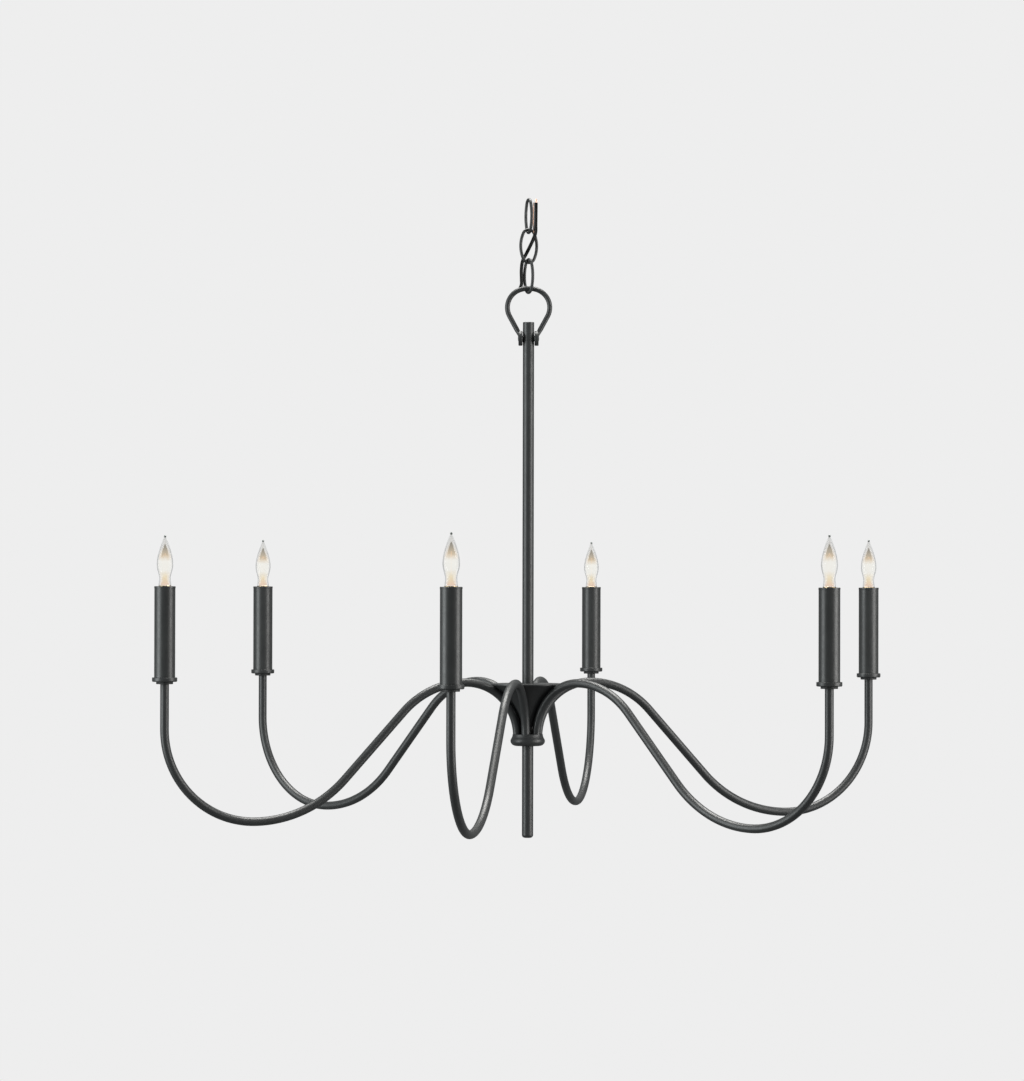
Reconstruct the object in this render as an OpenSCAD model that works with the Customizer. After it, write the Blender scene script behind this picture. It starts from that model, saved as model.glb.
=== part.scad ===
// Six-arm candle chandelier on three chain links, hanging from the inner top of its highest link.
// +Z is up, millimetres. The origin is the point of the top link that rests on the ceiling hook.

/* [Arms] */
// Number of arms, spread evenly round the stem
arm_count = 6; // [3:1:6]
// Direction of the first arm, turned from -Y towards +X
first_arm_angle = -10.75; // [-30:0.25:30]
// Radius of the circle that the candles stand on
arm_reach = 418; // [400:1:510]
// Height from an arm's crest down to its lowest point
arm_drop = 150.7; // [110:0.5:190]
// Height from an arm's lowest point up to its tip
arm_rise = 151.2; // [120:0.5:190]
// Outside diameter of the arm tube
arm_d = 9.5; // [8:0.1:11.5]
// Wall of the arm tube
arm_wall = 1; // [0.7:0.05:1.4]
// Bend radius between the collar and the crest
root_bend = 61; // [50:1:76]
// Bend radius just outside the crest
shoulder_bend = 98; // [78:1:120]
// Bend radius before the lowest point
belly_bend = 139; // [110:1:168]
// Bend radius from the lowest point up to the candle
bow_bend = 102; // [82:1:122]

/* [Stem and hub] */
// Outside diameter of the stem and of the tail rod
stem_d = 12.7; // [10.5:0.1:15.5]
// Wall of the stem tube
stem_wall = 1.2; // [0.8:0.1:1.6]
// Height from the cross pin down to the top of the hub plate
stem_drop = 387.6; // [300:1:480]
// Height of the stem above the cross pin
stem_over_pin = 18.2; // [12:0.1:26]
// Thickness of the hub plate
plate_t = 2; // [1.5:0.1:3]
// Overhang of the hub plate past the funnel
plate_lip = 0.8; // [0.4:0.1:3]
// Height of the arms' crests over the top of the hub plate
crest_over_plate = 1.5; // [0:0.1:4]
// Sheet thickness of the funnel
funnel_t = 1.2; // [0.8:0.1:1.6]
// Thickness of the collar's web, which the arms' roots are fitted into
collar_web_t = 4; // [3:0.1:5]
// Thickness of the collar's floor
collar_floor_t = 2.8; // [1.5:0.1:4]
// Length of the tail rod below the collar
tail_l = 103.1; // [60:0.5:160]

/* [Candles] */
// Outside diameter of a candle sleeve
sleeve_d = 22.8; // [20.6:0.1:28]
// Height of a candle sleeve
sleeve_h = 102; // [82:1:125]
// Wall of a candle sleeve
sleeve_wall = 0.9; // [0.5:0.1:1.2]
// Wall of the cup's lip
lip_wall = 2; // [1.2:0.1:3]
// Height of the cup's lip over the cup's floor
lip_h = 2.9; // [2:0.1:6]
// Thickness of the cup's floor
cup_floor_t = 1.8; // [1.2:0.1:3]
// Diameter of the ring between an arm's tip and its cup
seat_ring_d = 18.4; // [14:0.1:24]
// Height of that ring
seat_ring_h = 2.5; // [1.5:0.1:4]
// Height of the lamp socket
socket_h = 38; // [30:0.5:46]
// Depth of the socket's rim below the top of the sleeve
socket_inset = 1; // [0.5:0.1:3]

/* [Bulbs] */
// Diameter of the bulb's screw cap
cap_d = 11.7; // [10:0.1:12.5]
// Length of the screw cap below the socket's rim
cap_l = 18; // [14:0.5:24]
// Diameter of the glass at its foot
glass_foot_d = 13.7; // [12.8:0.1:15]
// Diameter of the glass at its neck
glass_neck_d = 12.3; // [11:0.1:13.5]
// Diameter of the glass at its widest
glass_d = 17.8; // [15:0.1:19]
// Height of the glass from its foot to its tip
glass_h = 52.5; // [42:0.5:63]
// Wall of the glass
glass_t = 0.7; // [0.5:0.05:1]

/* [Chain and bail] */
// Outside length of a chain link
link_l = 40.7; // [33:0.1:49]
// Outside width of a chain link
link_w = 22.5; // [19.5:0.1:27]
// Diameter of the link wire
link_wire = 3.4; // [2.8:0.1:4]
// Bend radius at a link's ends, to the middle of the wire
link_end_bend = 7; // [6:0.1:8]
// Turn of the chain about its own line
chain_turn = 20; // [0:1:35]
// How far the bottom link is turned past square to the middle one
bottom_link_twist = 9; // [-8:1:9]
// Outside width of the bail
bail_w = 53.1; // [49:0.1:64]
// Diameter of the bail rod
bail_rod = 5.6; // [4.6:0.1:6.8]
// Bend radius of the bail's crown
bail_crown_bend = 31.3; // [28:0.1:40]
// Bend radius of the bail's shoulders
bail_shoulder_bend = 21; // [17:0.1:23]
// Lean of the bail's legs
bail_lean = 28.5; // [22:0.5:33]
// Bend radius at the foot of each leg
bail_foot_bend = 8; // [6:0.1:12]
// Radius of the eye at the foot of each leg
eye_r = 8.3; // [6.5:0.1:9]
// Thickness of the eyes, and of the legs where they run into them
eye_t = 4.6; // [3.8:0.1:5.4]
// Diameter of the cross pin
pin_d = 6.6; // [5.4:0.1:8]

/* [Wiring] */
// Diameter of the supply cord
cord_d = 4; // [3.4:0.1:4.8]
// Diameter of the bare ground wire
ground_d = 1.2; // [0.8:0.1:1.6]
// Diameter of the wire pair inside each arm
wire_d = 3.2; // [2.4:0.1:3.8]

/* [Clearances] */
// Gap between hanging links, and between a link and the bail
hang_gap = 0.2; // [0.1:0.05:0.4]
// Radial gap of the cross pin in the stem
pin_gap = 0.06; // [0.02:0.01:0.1]
// Radial gap between fixed parts that are fitted into each other
fit_gap = 0.05; // [0.02:0.01:0.1]
// Gap between the stem and the eyes of the bail
eye_gap = 0.4; // [0.3:0.05:0.8]
// Gap between the arm tubes and the stem or the funnel
arm_gap = 1.3; // [0.4:0.1:2]
// Radial gap between a sleeve and its cup's lip
sleeve_gap = 0.3; // [0.25:0.05:0.6]
// Radial gap between a sleeve and the lamp socket in it
socket_gap = 0.8; // [0.5:0.1:1.4]
// Gap under parts that lift off
seat_gap = 0.1; // [0.05:0.05:0.2]
// Radial gap between the screw cap and the socket's shell
cap_gap = 0.35; // [0.3:0.05:0.5]

/* [Hidden] */
$fn = 64;
bend_fn = 120;
cut = 1; // how far a cutting solid runs past the face it cuts
step = 0.04; // bent rods and tubes alternate between stretches that are this much thinner and thicker
plug = 0.25; // and the thinner ones run this far into the thicker ones

// Chain, from the hang point downwards
link_in = link_l - 2 * link_wire;
link_pitch = link_in - hang_gap;
function link_z(k) = -link_in / 2 - (k - 1) * link_pitch;
link_a = (link_l - link_wire) / 2;
link_b = (link_w - link_wire) / 2;
link_side_bend = (pow(link_b, 2) + pow(link_a - link_end_bend, 2) - pow(link_end_bend, 2))
    / (2 * (link_b - link_end_bend));
link_side_sweep = atan2(link_a - link_end_bend, link_side_bend - link_b);

// Bail, in the plane of its two legs
rod_r = bail_rod / 2;
bail_z = link_z(3) - link_in / 2 + hang_gap + rod_r;
foot_r = eye_t / 2;
foot_x = stem_d / 2 + eye_gap + eye_t / 2;
shoulder_x = bail_w / 2 - rod_r - bail_shoulder_bend;
crown_sweep = asin(shoulder_x / (bail_crown_bend - bail_shoulder_bend));
shoulder_z = bail_z - bail_crown_bend + (bail_crown_bend - bail_shoulder_bend) * cos(crown_sweep);
leg_top = [shoulder_x, shoulder_z] + bail_shoulder_bend * [cos(bail_lean), -sin(bail_lean)];
leg_foot_x = foot_x + bail_foot_bend * (1 - cos(bail_lean));
leg_l = (leg_top.x - leg_foot_x) / sin(bail_lean);
leg_foot = [leg_foot_x, leg_top.y - leg_l * cos(bail_lean)];
foot_bend_z = leg_foot.y - bail_foot_bend * sin(bail_lean);
foot_l = 0.4;
leg_taper = 7;
pin_z = foot_bend_z - foot_l;
eye_ease = 1.2;
pin_over_eye = 0.6;

// Stem and hub
stem_r = stem_d / 2;
stem_bore = stem_r - stem_wall;
stem_top = pin_z + stem_over_pin;
plate_z = pin_z - stem_drop;
stem_in_hub = 16;
stem_foot_z = plate_z - stem_in_hub;

// Arm centreline, in a plane through the stem: x is the radius and y the height
arm_r = arm_d / 2;
arm_bore = arm_r - arm_wall;
root_x = stem_r + arm_gap + arm_r;
crest = [root_x + root_bend, plate_z + crest_over_plate];
low = [arm_reach - bow_bend, crest.y - arm_drop];
bends = shoulder_bend + belly_bend;
between = [low.x - crest.x, bends - arm_drop];
slant_l = sqrt(pow(norm(between), 2) - pow(bends, 2));
slant = atan2(between.x, between.y) - atan2(slant_l, bends);
slant_top = [crest.x + shoulder_bend * sin(slant), crest.y - shoulder_bend * (1 - cos(slant))];
tip_z = low.y + arm_rise;
root_z = crest.y - root_bend;

// Funnel round the inside of the arms' root bends
root_gap = 0.3;
funnel_bend = root_bend + arm_r + root_gap;
funnel_top_z = plate_z - plate_t;
funnel_foot_z = root_z + 11;
function funnel_x(bend_r, z) = crest.x - sqrt(pow(bend_r, 2) - pow(z - root_z, 2));
plate_r = funnel_x(funnel_bend, funnel_top_z) + plate_lip;

// Wires inside the hub: from the junction block down, round and up into each arm's root
wire_r = wire_d / 2;
wire_in_x = 4.4; // where the arm wires stand round the middle of the hub
wire_turn_r = (root_x - wire_in_x) / 2;
root_end_z = root_z - 0.6;
wire_turn_z = root_end_z - 0.6;
junction_h = 12;
junction_z = stem_foot_z - 5 - junction_h;
junction_r = funnel_x(funnel_bend + funnel_t, junction_z) - 2.6;

// Collar that holds the arms' roots
collar_roof_z = root_end_z - 0.4;
collar_top_z = collar_roof_z + collar_web_t;
collar_floor_z = wire_turn_z - wire_turn_r - wire_r - 0.8;
hub_base_z = collar_floor_z - collar_floor_t;
collar_neck_r = root_x + arm_r;
collar_r = collar_neck_r + 2.2;
collar_wall = 1;
collar_round = 4.2;
throat_r = root_x - arm_r + 0.7;
tail_stud_r = 4;
tail_round = 3.2;
hub_nut_flats = 19;
hub_nut_t = 4;

// Candles, upwards from an arm's tip
cup_z = tip_z + seat_ring_h;
cup_top = cup_z + cup_floor_t;
sleeve_z = cup_top + seat_gap;
sleeve_top = sleeve_z + sleeve_h;
sleeve_r = sleeve_d / 2;
lip_r = sleeve_r + sleeve_gap + lip_wall;
tube_r = arm_bore - fit_gap; // threaded tube that stands in an arm's tip
tube_bore = tube_r - 1;
tube_in_arm = 12;
tube_in_socket = 5;
cup_nut_flats = 12;
cup_nut_t = 3.5;
socket_r = sleeve_r - sleeve_wall - socket_gap;
socket_top = sleeve_top - socket_inset;
socket_z = socket_top - socket_h;
socket_floor_t = 9;
socket_ease = 1.5;
shell_bore = cap_d / 2 + cap_gap;
shell_t = 0.5;
shell_r = shell_bore + shell_t;
contact_r = 2.2;
contact_gap = 0.2; // under the bulb's contact tip
cap_z = socket_top + 0.2; // underside of the cap's rim, clear of the socket
cap_rim_h = 1.6;
cap_tip_h = 3;
foot_z = cap_z + cap_rim_h;
cap_rim_r = glass_foot_d / 2 + 0.15;
wire_end_z = socket_z + 2;

// Cord and ground wire
cord_r = cord_d / 2;
ground_r = ground_d / 2;
ground_beside = cord_r + ground_r + 0.1;
entry_bore = cord_r + ground_r + 0.2; // the opening at the back of the stem takes both
entry_r = entry_bore + 0.8;
entry_z = pin_z - 17;
bushing_lip = 1.4;
behind_rod = rod_r + cord_r + 0.6;
behind_eye = eye_r + cord_r + 0.9;

// A point beside the chain: u runs along the middle link's plane, v square to it
function beside_chain(u, v, z) =
    [u * cos(chain_turn) - v * sin(chain_turn), u * sin(chain_turn) + v * cos(chain_turn), z];

// Points behind the left side of the bail
function behind_arc(x, z, radius, t) = [-x - radius * sin(t), behind_rod, z + radius * cos(t)];
function behind_leg(t) = let (p = leg_top + t * (leg_foot - leg_top)) [-p.x, behind_rod + 3.6 * t * t, p.y];

// Supply cord: beside the top link, through the middle link, beside the bottom link, down the back of
// the bail's left leg, across behind the pin, into the back of the stem and down to the junction block
cord_route = concat(
    [beside_chain(7, -4.7, link_z(1) + 15), beside_chain(6.7, -5.1, link_z(1) + 3)],
    [beside_chain(6, -6.5, link_z(1) - 10), beside_chain(5.3, -7.8, link_z(2) + 14.7)],
    [beside_chain(3.3, -4.9, link_z(2) + 6.7), beside_chain(1.2, -1, link_z(2) - 0.3)],
    [beside_chain(-1.7, 3.3, link_z(2) - 8.4), beside_chain(-4.7, 7.2, link_z(3) + 17.3)],
    [beside_chain(-5.8, 8, link_z(3) + 7.3), beside_chain(-5.8, 7.7, link_z(3) - 2.7)],
    [beside_chain(-5.9, 8.1, link_z(3) - 10)],
    [for (t = [26, 38, 54, 78, 102]) behind_arc(shoulder_x, shoulder_z, bail_shoulder_bend, t)],
    [for (t = [0.2, 0.5, 0.8]) behind_leg(t)],
    [[-8.4, behind_eye, pin_z + 1.5], [-4, behind_eye + 2.2, pin_z - 4.5]],
    [[-0.9, behind_eye + 2.2, pin_z - 10.3], [0, behind_eye + 0.2, pin_z - 14.6]],
    [for (p = [[8.5, 0.3], [6.5, 0], [4.4, 0], [3.1, -0.9], [1.8, -2.7], [0.8, -5.6], [0.2, -10], [0, -18]])
        [0, p.x, entry_z + ground_r + p.y]],
    [[0, 0, junction_z + junction_h]]
);

// The ground wire runs left of the cord beside the top link, then behind it
function unit(v) = v / norm(v);
function along(route, n) = unit(route[min(n + 1, len(route) - 1)] - route[max(n - 1, 0)]);
function ground_side(n) =
    let (t = min(max((n - 2) / 2, 0), 1)) unit(cross([t, 1 - t, 0], along(cord_route, n)));
ground_route = [for (n = [0:len(cord_route) - 1]) cord_route[n] + ground_beside * ground_side(n)];

// Building blocks -----------------------------------------------------------

// Turns a drawing in the XY plane up into the XZ plane
module upright() {
    rotate([90, 0, 0]) children();
}

// A bent tube round a centre, in the XY plane; a bore of 0 makes a rod, and over lengthens both ends
module bend(centre, radius, from, sweep, r, bore = 0, over = 0) {
    extra = over / radius * 180 / PI;
    translate([centre.x, centre.y, 0])
        rotate_extrude(angle = sweep + 2 * extra, start = from - extra, $fn = bend_fn)
            translate([radius, 0]) ring(r, bore);
}

// A straight tube from a point along a direction, in the XY plane
module straight(start, direction, length, r, bore = 0, over = 0) {
    translate([start.x, start.y, 0])
        rotate([0, 0, direction]) rotate([0, 90, 0]) translate([0, 0, -over])
            linear_extrude(length + 2 * over) ring(r, bore);
}

module ring(r, bore) {
    if (bore > 0) {
        difference() {
            circle(r);
            circle(bore);
        }
    } else {
        circle(r);
    }
}

module hexagon(flats, height) {
    cylinder(h = height, r = flats / 2 / cos(30), $fn = 6);
}

// Stands a part on arm number i
module on_arm(i) {
    rotate([0, 0, first_arm_angle + (i - 1) * 360 / arm_count - 90]) children();
}

module on_candle(i) {
    on_arm(i) translate([arm_reach, 0, 0]) children();
}

module on_every_candle() {
    for (i = [1:arm_count]) on_candle(i) children();
}

// Chain and bail -------------------------------------------------------------

// An oval link of four tangent arcs, standing in the XZ plane
module link(k, turn) {
    end_sweep = 180 - 2 * link_side_sweep;
    color("#2b2e2f")
        translate([0, 0, link_z(k)]) rotate([0, 0, turn]) upright() {
            for (side = [0, 180]) {
                rotate([0, 0, side]) {
                    bend([link_b - link_side_bend, 0], link_side_bend, -link_side_sweep,
                        2 * link_side_sweep, link_wire / 2 + step);
                    bend([0, link_a - link_end_bend], link_end_bend, link_side_sweep, end_sweep,
                        link_wire / 2, over = plug);
                }
            }
        }
}

module top_link() {
    link(1, chain_turn + 90);
}

module middle_link() {
    link(2, chain_turn);
}

module bottom_link() {
    link(3, chain_turn + 90 + bottom_link_twist);
}

module bail_leg() {
    bend([shoulder_x, shoulder_z], bail_shoulder_bend, -bail_lean, 90 - crown_sweep + bail_lean,
        rod_r + step);
    straight(leg_top, 270 - bail_lean, leg_l - leg_taper, rod_r, over = plug);
    translate([leg_foot.x, leg_foot.y, 0])
        rotate([0, 0, 90 - bail_lean]) rotate([0, 90, 0]) translate([0, 0, -plug])
            cylinder(h = leg_taper + 2 * plug, r1 = foot_r, r2 = rod_r - step);
    bend([foot_x + bail_foot_bend, foot_bend_z], bail_foot_bend, 180 - bail_lean, bail_lean, foot_r + step);
    straight([foot_x, foot_bend_z], 270, foot_l, foot_r, over = plug);
}

// The flat round eye that the pin goes through, with eased edges
module eye() {
    translate([0, 0, -eye_t / 2])
        rotate_extrude()
            polygon([
                [0, 0], [eye_r - eye_ease, 0], [eye_r, eye_ease], [eye_r, eye_t - eye_ease],
                [eye_r - eye_ease, eye_t], [0, eye_t]
            ]);
}

module bail() {
    color("#2b2e2f") {
        difference() {
            union() {
                upright() {
                    bend([0, bail_z - bail_crown_bend], bail_crown_bend, 90 - crown_sweep,
                        2 * crown_sweep, rod_r, over = plug);
                    bail_leg();
                    mirror([1, 0, 0]) bail_leg();
                }
                for (side = [-1, 1]) {
                    translate([side * foot_x, 0, pin_z]) rotate([0, 90, 0]) eye();
                }
            }
            translate([0, 0, pin_z]) rotate([0, 90, 0])
                cylinder(h = 2 * bail_w, r = pin_d / 2 + fit_gap, center = true);
        }
    }
}

module bail_pin() {
    ease = 0.5;
    half = foot_x + eye_t / 2 + pin_over_eye;
    color("#34383a")
        translate([-half, 0, pin_z]) rotate([0, 90, 0])
            rotate_extrude()
                polygon([
                    [0, 0], [pin_d / 2 - ease, 0], [pin_d / 2, ease], [pin_d / 2, 2 * half - ease],
                    [pin_d / 2 - ease, 2 * half], [0, 2 * half]
                ]);
}

// Stem and hub -----------------------------------------------------------------

module stem_tube() {
    ease = 0.5;
    color("#2b2e2f")
        difference() {
            rotate_extrude()
                polygon([
                    [stem_bore, stem_foot_z], [stem_r, stem_foot_z], [stem_r, stem_top - ease],
                    [stem_r - ease, stem_top], [stem_bore, stem_top]
                ]);
            translate([0, 0, pin_z]) rotate([0, 90, 0])
                cylinder(h = 2 * stem_d, r = pin_d / 2 + pin_gap, center = true);
            translate([0, 0, entry_z]) rotate([-90, 0, 0])
                cylinder(h = stem_d, r = entry_r + fit_gap);
        }
}

module hub_plate() {
    color("#2b2e2f")
        translate([0, 0, plate_z - plate_t])
            difference() {
                cylinder(h = plate_t, r = plate_r, $fn = bend_fn);
                translate([0, 0, -cut]) cylinder(h = plate_t + 2 * cut, r = stem_r + fit_gap);
            }
}

module hub_nut() {
    color("#8c8f91")
        translate([0, 0, plate_z - plate_t - hub_nut_t])
            difference() {
                hexagon(hub_nut_flats, hub_nut_t);
                translate([0, 0, -cut]) cylinder(h = hub_nut_t + 2 * cut, r = stem_r + fit_gap);
            }
}

// A thin trumpet that follows the inside of the arms' root bends
module hub_funnel() {
    color("#242728")
        rotate_extrude($fn = bend_fn)
            intersection() {
                translate([crest.x, root_z]) ring(funnel_bend + funnel_t, funnel_bend);
                translate([0, funnel_foot_z]) square([crest.x, funnel_top_z - funnel_foot_z]);
            }
}

module hub_collar() {
    fullest = hub_base_z + collar_round + 1.2;
    edge = collar_r - collar_round;
    color("#2b2e2f")
        difference() {
            rotate_extrude($fn = bend_fn)
                polygon(concat(
                    [[0, hub_base_z]],
                    [for (t = [0:15:90])
                        [edge + collar_round * sin(t), hub_base_z + collar_round * (1 - cos(t))]],
                    [[collar_r, fullest], [collar_neck_r + 0.7, collar_top_z - 1.6]],
                    [[collar_neck_r, collar_top_z], [0, collar_top_z]]
                ));
            translate([0, 0, collar_floor_z])
                cylinder(h = collar_roof_z - collar_floor_z, r = collar_neck_r - collar_wall);
            translate([0, 0, collar_roof_z - cut])
                cylinder(h = collar_web_t + 2 * cut, r = throat_r);
            for (i = [1:arm_count]) {
                on_arm(i) translate([root_x, 0, collar_roof_z - cut])
                    cylinder(h = collar_web_t + 2 * cut, r = arm_r + fit_gap);
            }
            translate([0, 0, hub_base_z - cut])
                cylinder(h = collar_floor_t + 2 * cut, r = tail_stud_r + fit_gap);
        }
}

module tail_rod() {
    tail_z = hub_base_z - tail_l;
    edge = stem_r - tail_round;
    color("#2b2e2f")
        rotate_extrude()
            polygon(concat(
                [[0, tail_z]],
                [for (t = [0:15:90]) [edge + tail_round * sin(t), tail_z + tail_round * (1 - cos(t))]],
                [[stem_r, hub_base_z], [tail_stud_r, hub_base_z]],
                [[tail_stud_r, collar_floor_z], [0, collar_floor_z]]
            ));
}

// Arms ---------------------------------------------------------------------------

// The arm's centreline from its root bend to its bow, swept with a ring
module arm_bends(r, bore = 0) {
    thick_bore = max(bore - step, 0);
    bend([crest.x, root_z], root_bend, 90, 90, r, bore, plug);
    bend([crest.x, crest.y - shoulder_bend], shoulder_bend, 90 - slant, slant, r + step, thick_bore);
    straight(slant_top, -slant, slant_l, r, bore, plug);
    bend([low.x, low.y + belly_bend], belly_bend, 270 - slant, slant, r + step, thick_bore);
    bend([low.x, low.y + bow_bend], bow_bend, 270, 90, r, bore, plug);
}

module arm(i) {
    bow_top = low.y + bow_bend;
    color("#2b2e2f")
        on_arm(i) upright() {
            straight([root_x, root_end_z], 90, root_z - root_end_z, arm_r + step, arm_bore - step);
            arm_bends(arm_r, arm_bore);
            straight([arm_reach, bow_top], 90, tip_z - bow_top, arm_r + step, arm_bore - step);
        }
}

// The wire pair in each arm: up from the junction block, round under the arm's root and on to the socket
module arm_wires() {
    bow_top = low.y + bow_bend;
    color("#c9b48a")
        for (i = [1:arm_count]) {
            on_arm(i) upright() {
                straight([wire_in_x, wire_turn_z], 90, junction_z - wire_turn_z, wire_r + step);
                bend([wire_in_x + wire_turn_r, wire_turn_z], wire_turn_r, 180, 180, wire_r, over = plug);
                straight([root_x, wire_turn_z], 90, root_z - wire_turn_z, wire_r + step);
                arm_bends(wire_r);
                straight([arm_reach, bow_top], 90, wire_end_z - bow_top, wire_r + step);
            }
        }
}

module junction_block() {
    color("#e6e2d6")
        translate([0, 0, junction_z])
            cylinder(h = junction_h, r = junction_r);
}

// Candles --------------------------------------------------------------------------

module seat_rings() {
    color("#1f2223")
        on_every_candle()
            translate([0, 0, tip_z])
                difference() {
                    cylinder(h = seat_ring_h, d = seat_ring_d);
                    translate([0, 0, -cut]) cylinder(h = seat_ring_h + 2 * cut, r = tube_r + fit_gap);
                }
}

module cup(i) {
    round = 1.2;
    lip_top = cup_top + lip_h;
    color("#2b2e2f")
        on_candle(i)
            rotate_extrude()
                polygon(concat(
                    [[tube_r + fit_gap, cup_z]],
                    [for (t = [0:15:90]) [lip_r - round + round * sin(t), cup_z + round * (1 - cos(t))]],
                    [[lip_r, lip_top - 0.5], [lip_r - 0.5, lip_top]],
                    [[lip_r - lip_wall, lip_top], [lip_r - lip_wall, cup_top], [tube_r + fit_gap, cup_top]]
                ));
}

// Hexagon nuts that clamp the cups on their threaded tubes
module cup_nuts() {
    color("#8c8f91")
        on_every_candle()
            translate([0, 0, cup_top])
                difference() {
                    hexagon(cup_nut_flats, cup_nut_t);
                    translate([0, 0, -cut]) cylinder(h = cup_nut_t + 2 * cut, r = tube_r + fit_gap);
                }
}

// Threaded tubes from inside the arms' tips up into the sockets
module candle_tubes() {
    bottom = tip_z - tube_in_arm;
    color("#b9bcbe")
        on_every_candle()
            translate([0, 0, bottom])
                linear_extrude(socket_z + tube_in_socket - bottom) ring(tube_r, tube_bore);
}

module socket(i) {
    floor_z = socket_z + socket_floor_t;
    tube_top = socket_z + tube_in_socket + fit_gap;
    color("#1d1f20")
        on_candle(i)
            rotate_extrude()
                polygon([
                    [tube_r + fit_gap, socket_z], [socket_r - socket_ease, socket_z],
                    [socket_r, socket_z + socket_ease], [socket_r, socket_top],
                    [shell_r + fit_gap, socket_top], [shell_r + fit_gap, floor_z], [0, floor_z],
                    [0, tube_top], [tube_r + fit_gap, tube_top]
                ]);
}

module socket_shells() {
    color("#b08d4a")
        on_every_candle()
            translate([0, 0, socket_top - cap_l - 1.5])
                linear_extrude(cap_l + 1) ring(shell_r, shell_bore);
}

module socket_contacts() {
    floor_z = socket_z + socket_floor_t;
    contact_top = cap_z - cap_l - cap_tip_h - contact_gap;
    color("#b08d4a")
        on_every_candle()
            translate([0, 0, floor_z]) cylinder(h = contact_top - floor_z, r = contact_r);
}

module sleeve(i) {
    bead = 0.2;
    bead_h = 2.4;
    color("#303436")
        on_candle(i)
            rotate_extrude()
                polygon([
                    [sleeve_r - sleeve_wall, sleeve_z], [sleeve_r, sleeve_z],
                    [sleeve_r, sleeve_top - bead_h - bead], [sleeve_r + bead, sleeve_top - bead_h],
                    [sleeve_r + bead, sleeve_top - bead],
                    [sleeve_r, sleeve_top], [sleeve_r - sleeve_wall, sleeve_top]
                ]);
}

// Bulbs ------------------------------------------------------------------------------

// A screw cap with a rolled thread, a rim that takes the glass and a contact tip
module bulb_cap(i) {
    ridges = 6;
    ridge = 0.45;
    thread_z = cap_z - cap_l + 1.2;
    ridge_h = (cap_l - 3) / ridges / 2;
    r = cap_d / 2;
    inside = glass_foot_d / 2 - glass_t - fit_gap;
    plug_top = foot_z + 1.6;
    color("#b08d4a")
        on_candle(i)
            rotate_extrude()
                polygon(concat(
                    [[0, cap_z - cap_l - cap_tip_h], [contact_r, cap_z - cap_l - cap_tip_h]],
                    [[contact_r, cap_z - cap_l - 1.6], [r - 1, cap_z - cap_l + 0.6]],
                    [for (n = [0:2 * ridges]) [r - (n % 2 == 0 ? ridge : 0), thread_z + n * ridge_h]],
                    [[r, cap_z], [cap_rim_r, cap_z], [cap_rim_r, foot_z]],
                    [[inside, foot_z], [inside, plug_top], [0, plug_top]]
                ));
}

function curve(a, b, c, d, t) =
    pow(1 - t, 3) * a + 3 * pow(1 - t, 2) * t * b + 3 * (1 - t) * t * t * c + pow(t, 3) * d;

// Half outline of the flame-shaped glass, from its foot up to its tip; in is how far inside the surface
function flame(in) = let (
    foot = [glass_foot_d / 2 - in, foot_z],
    neck = [glass_neck_d / 2 - in, foot_z + 0.145 * glass_h],
    wide = [glass_d / 2 - in, foot_z + 0.43 * glass_h],
    tip = [max(1.1 - in, 0.3), foot_z + glass_h - 1.6 * in],
    rise = glass_h / 10
) concat(
    [for (t = [0:0.25:0.75]) curve(foot, foot + [0, 0.5 * rise], neck - [0, 0.5 * rise], neck, t)],
    [for (t = [0:0.2:0.8]) curve(neck, neck + [0, 0.8 * rise], wide - [0, 1.1 * rise], wide, t)],
    [for (t = [0:0.1:1]) curve(wide, wide + [0, 1.9 * rise], tip + [3.8, -1.9 * rise], tip, t)]
);

module bulb_glass(i) {
    tip_r = 1.35;
    tip_z = foot_z + glass_h + 0.8;
    outside = flame(0);
    inside = flame(glass_t);
    color("#dfe8ea", 0.5)
        on_candle(i)
            rotate_extrude()
                polygon(concat(
                    outside,
                    [for (t = [-30:20:70]) [tip_r * cos(t), tip_z + tip_r * sin(t)]],
                    [[0, tip_z + tip_r], [0, inside[len(inside) - 1].y]],
                    [for (n = [len(inside) - 1:-1:0]) inside[n]]
                ));
}

// Wiring -----------------------------------------------------------------------------

module cord_bushing() {
    color("#191b1c")
        translate([0, 0, entry_z]) rotate([-90, 0, 0])
            difference() {
                union() {
                    translate([0, 0, stem_bore]) cylinder(h = stem_wall + bushing_lip, r = entry_r);
                    translate([0, 0, stem_r]) cylinder(h = bushing_lip, r = entry_r + bushing_lip);
                }
                cylinder(h = stem_d, r = entry_bore);
            }
}

// A closed tube through a list of points, one ring to a point
module swept_tube(route, r, sides) {
    count = len(route);
    function across(n) = let (d = along(route, n)) unit(cross(d, abs(d.y) < 0.9 ? [0, 1, 0] : [1, 0, 0]));
    rings = [
        for (n = [0:count - 1]) let (u = across(n), v = cross(along(route, n), u))
            for (k = [0:sides - 1]) route[n] + r * (cos(360 * k / sides) * u + sin(360 * k / sides) * v)
    ];
    walls = [
        for (n = [0:count - 2]) for (k = [0:sides - 1])
            let (a = n * sides + k, b = n * sides + (k + 1) % sides) [a, a + sides, b + sides, b]
    ];
    first_end = [for (k = [0:sides - 1]) k];
    last_end = [for (k = [sides - 1:-1:0]) (count - 1) * sides + k];
    polyhedron(rings, concat(walls, [first_end, last_end]), convexity = 8);
}

module supply_cord() {
    color("#202324") swept_tube(cord_route, cord_r, 8);
}

module ground_wire() {
    color("#a8654a") swept_tube(ground_route, ground_r, 6);
}

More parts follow.
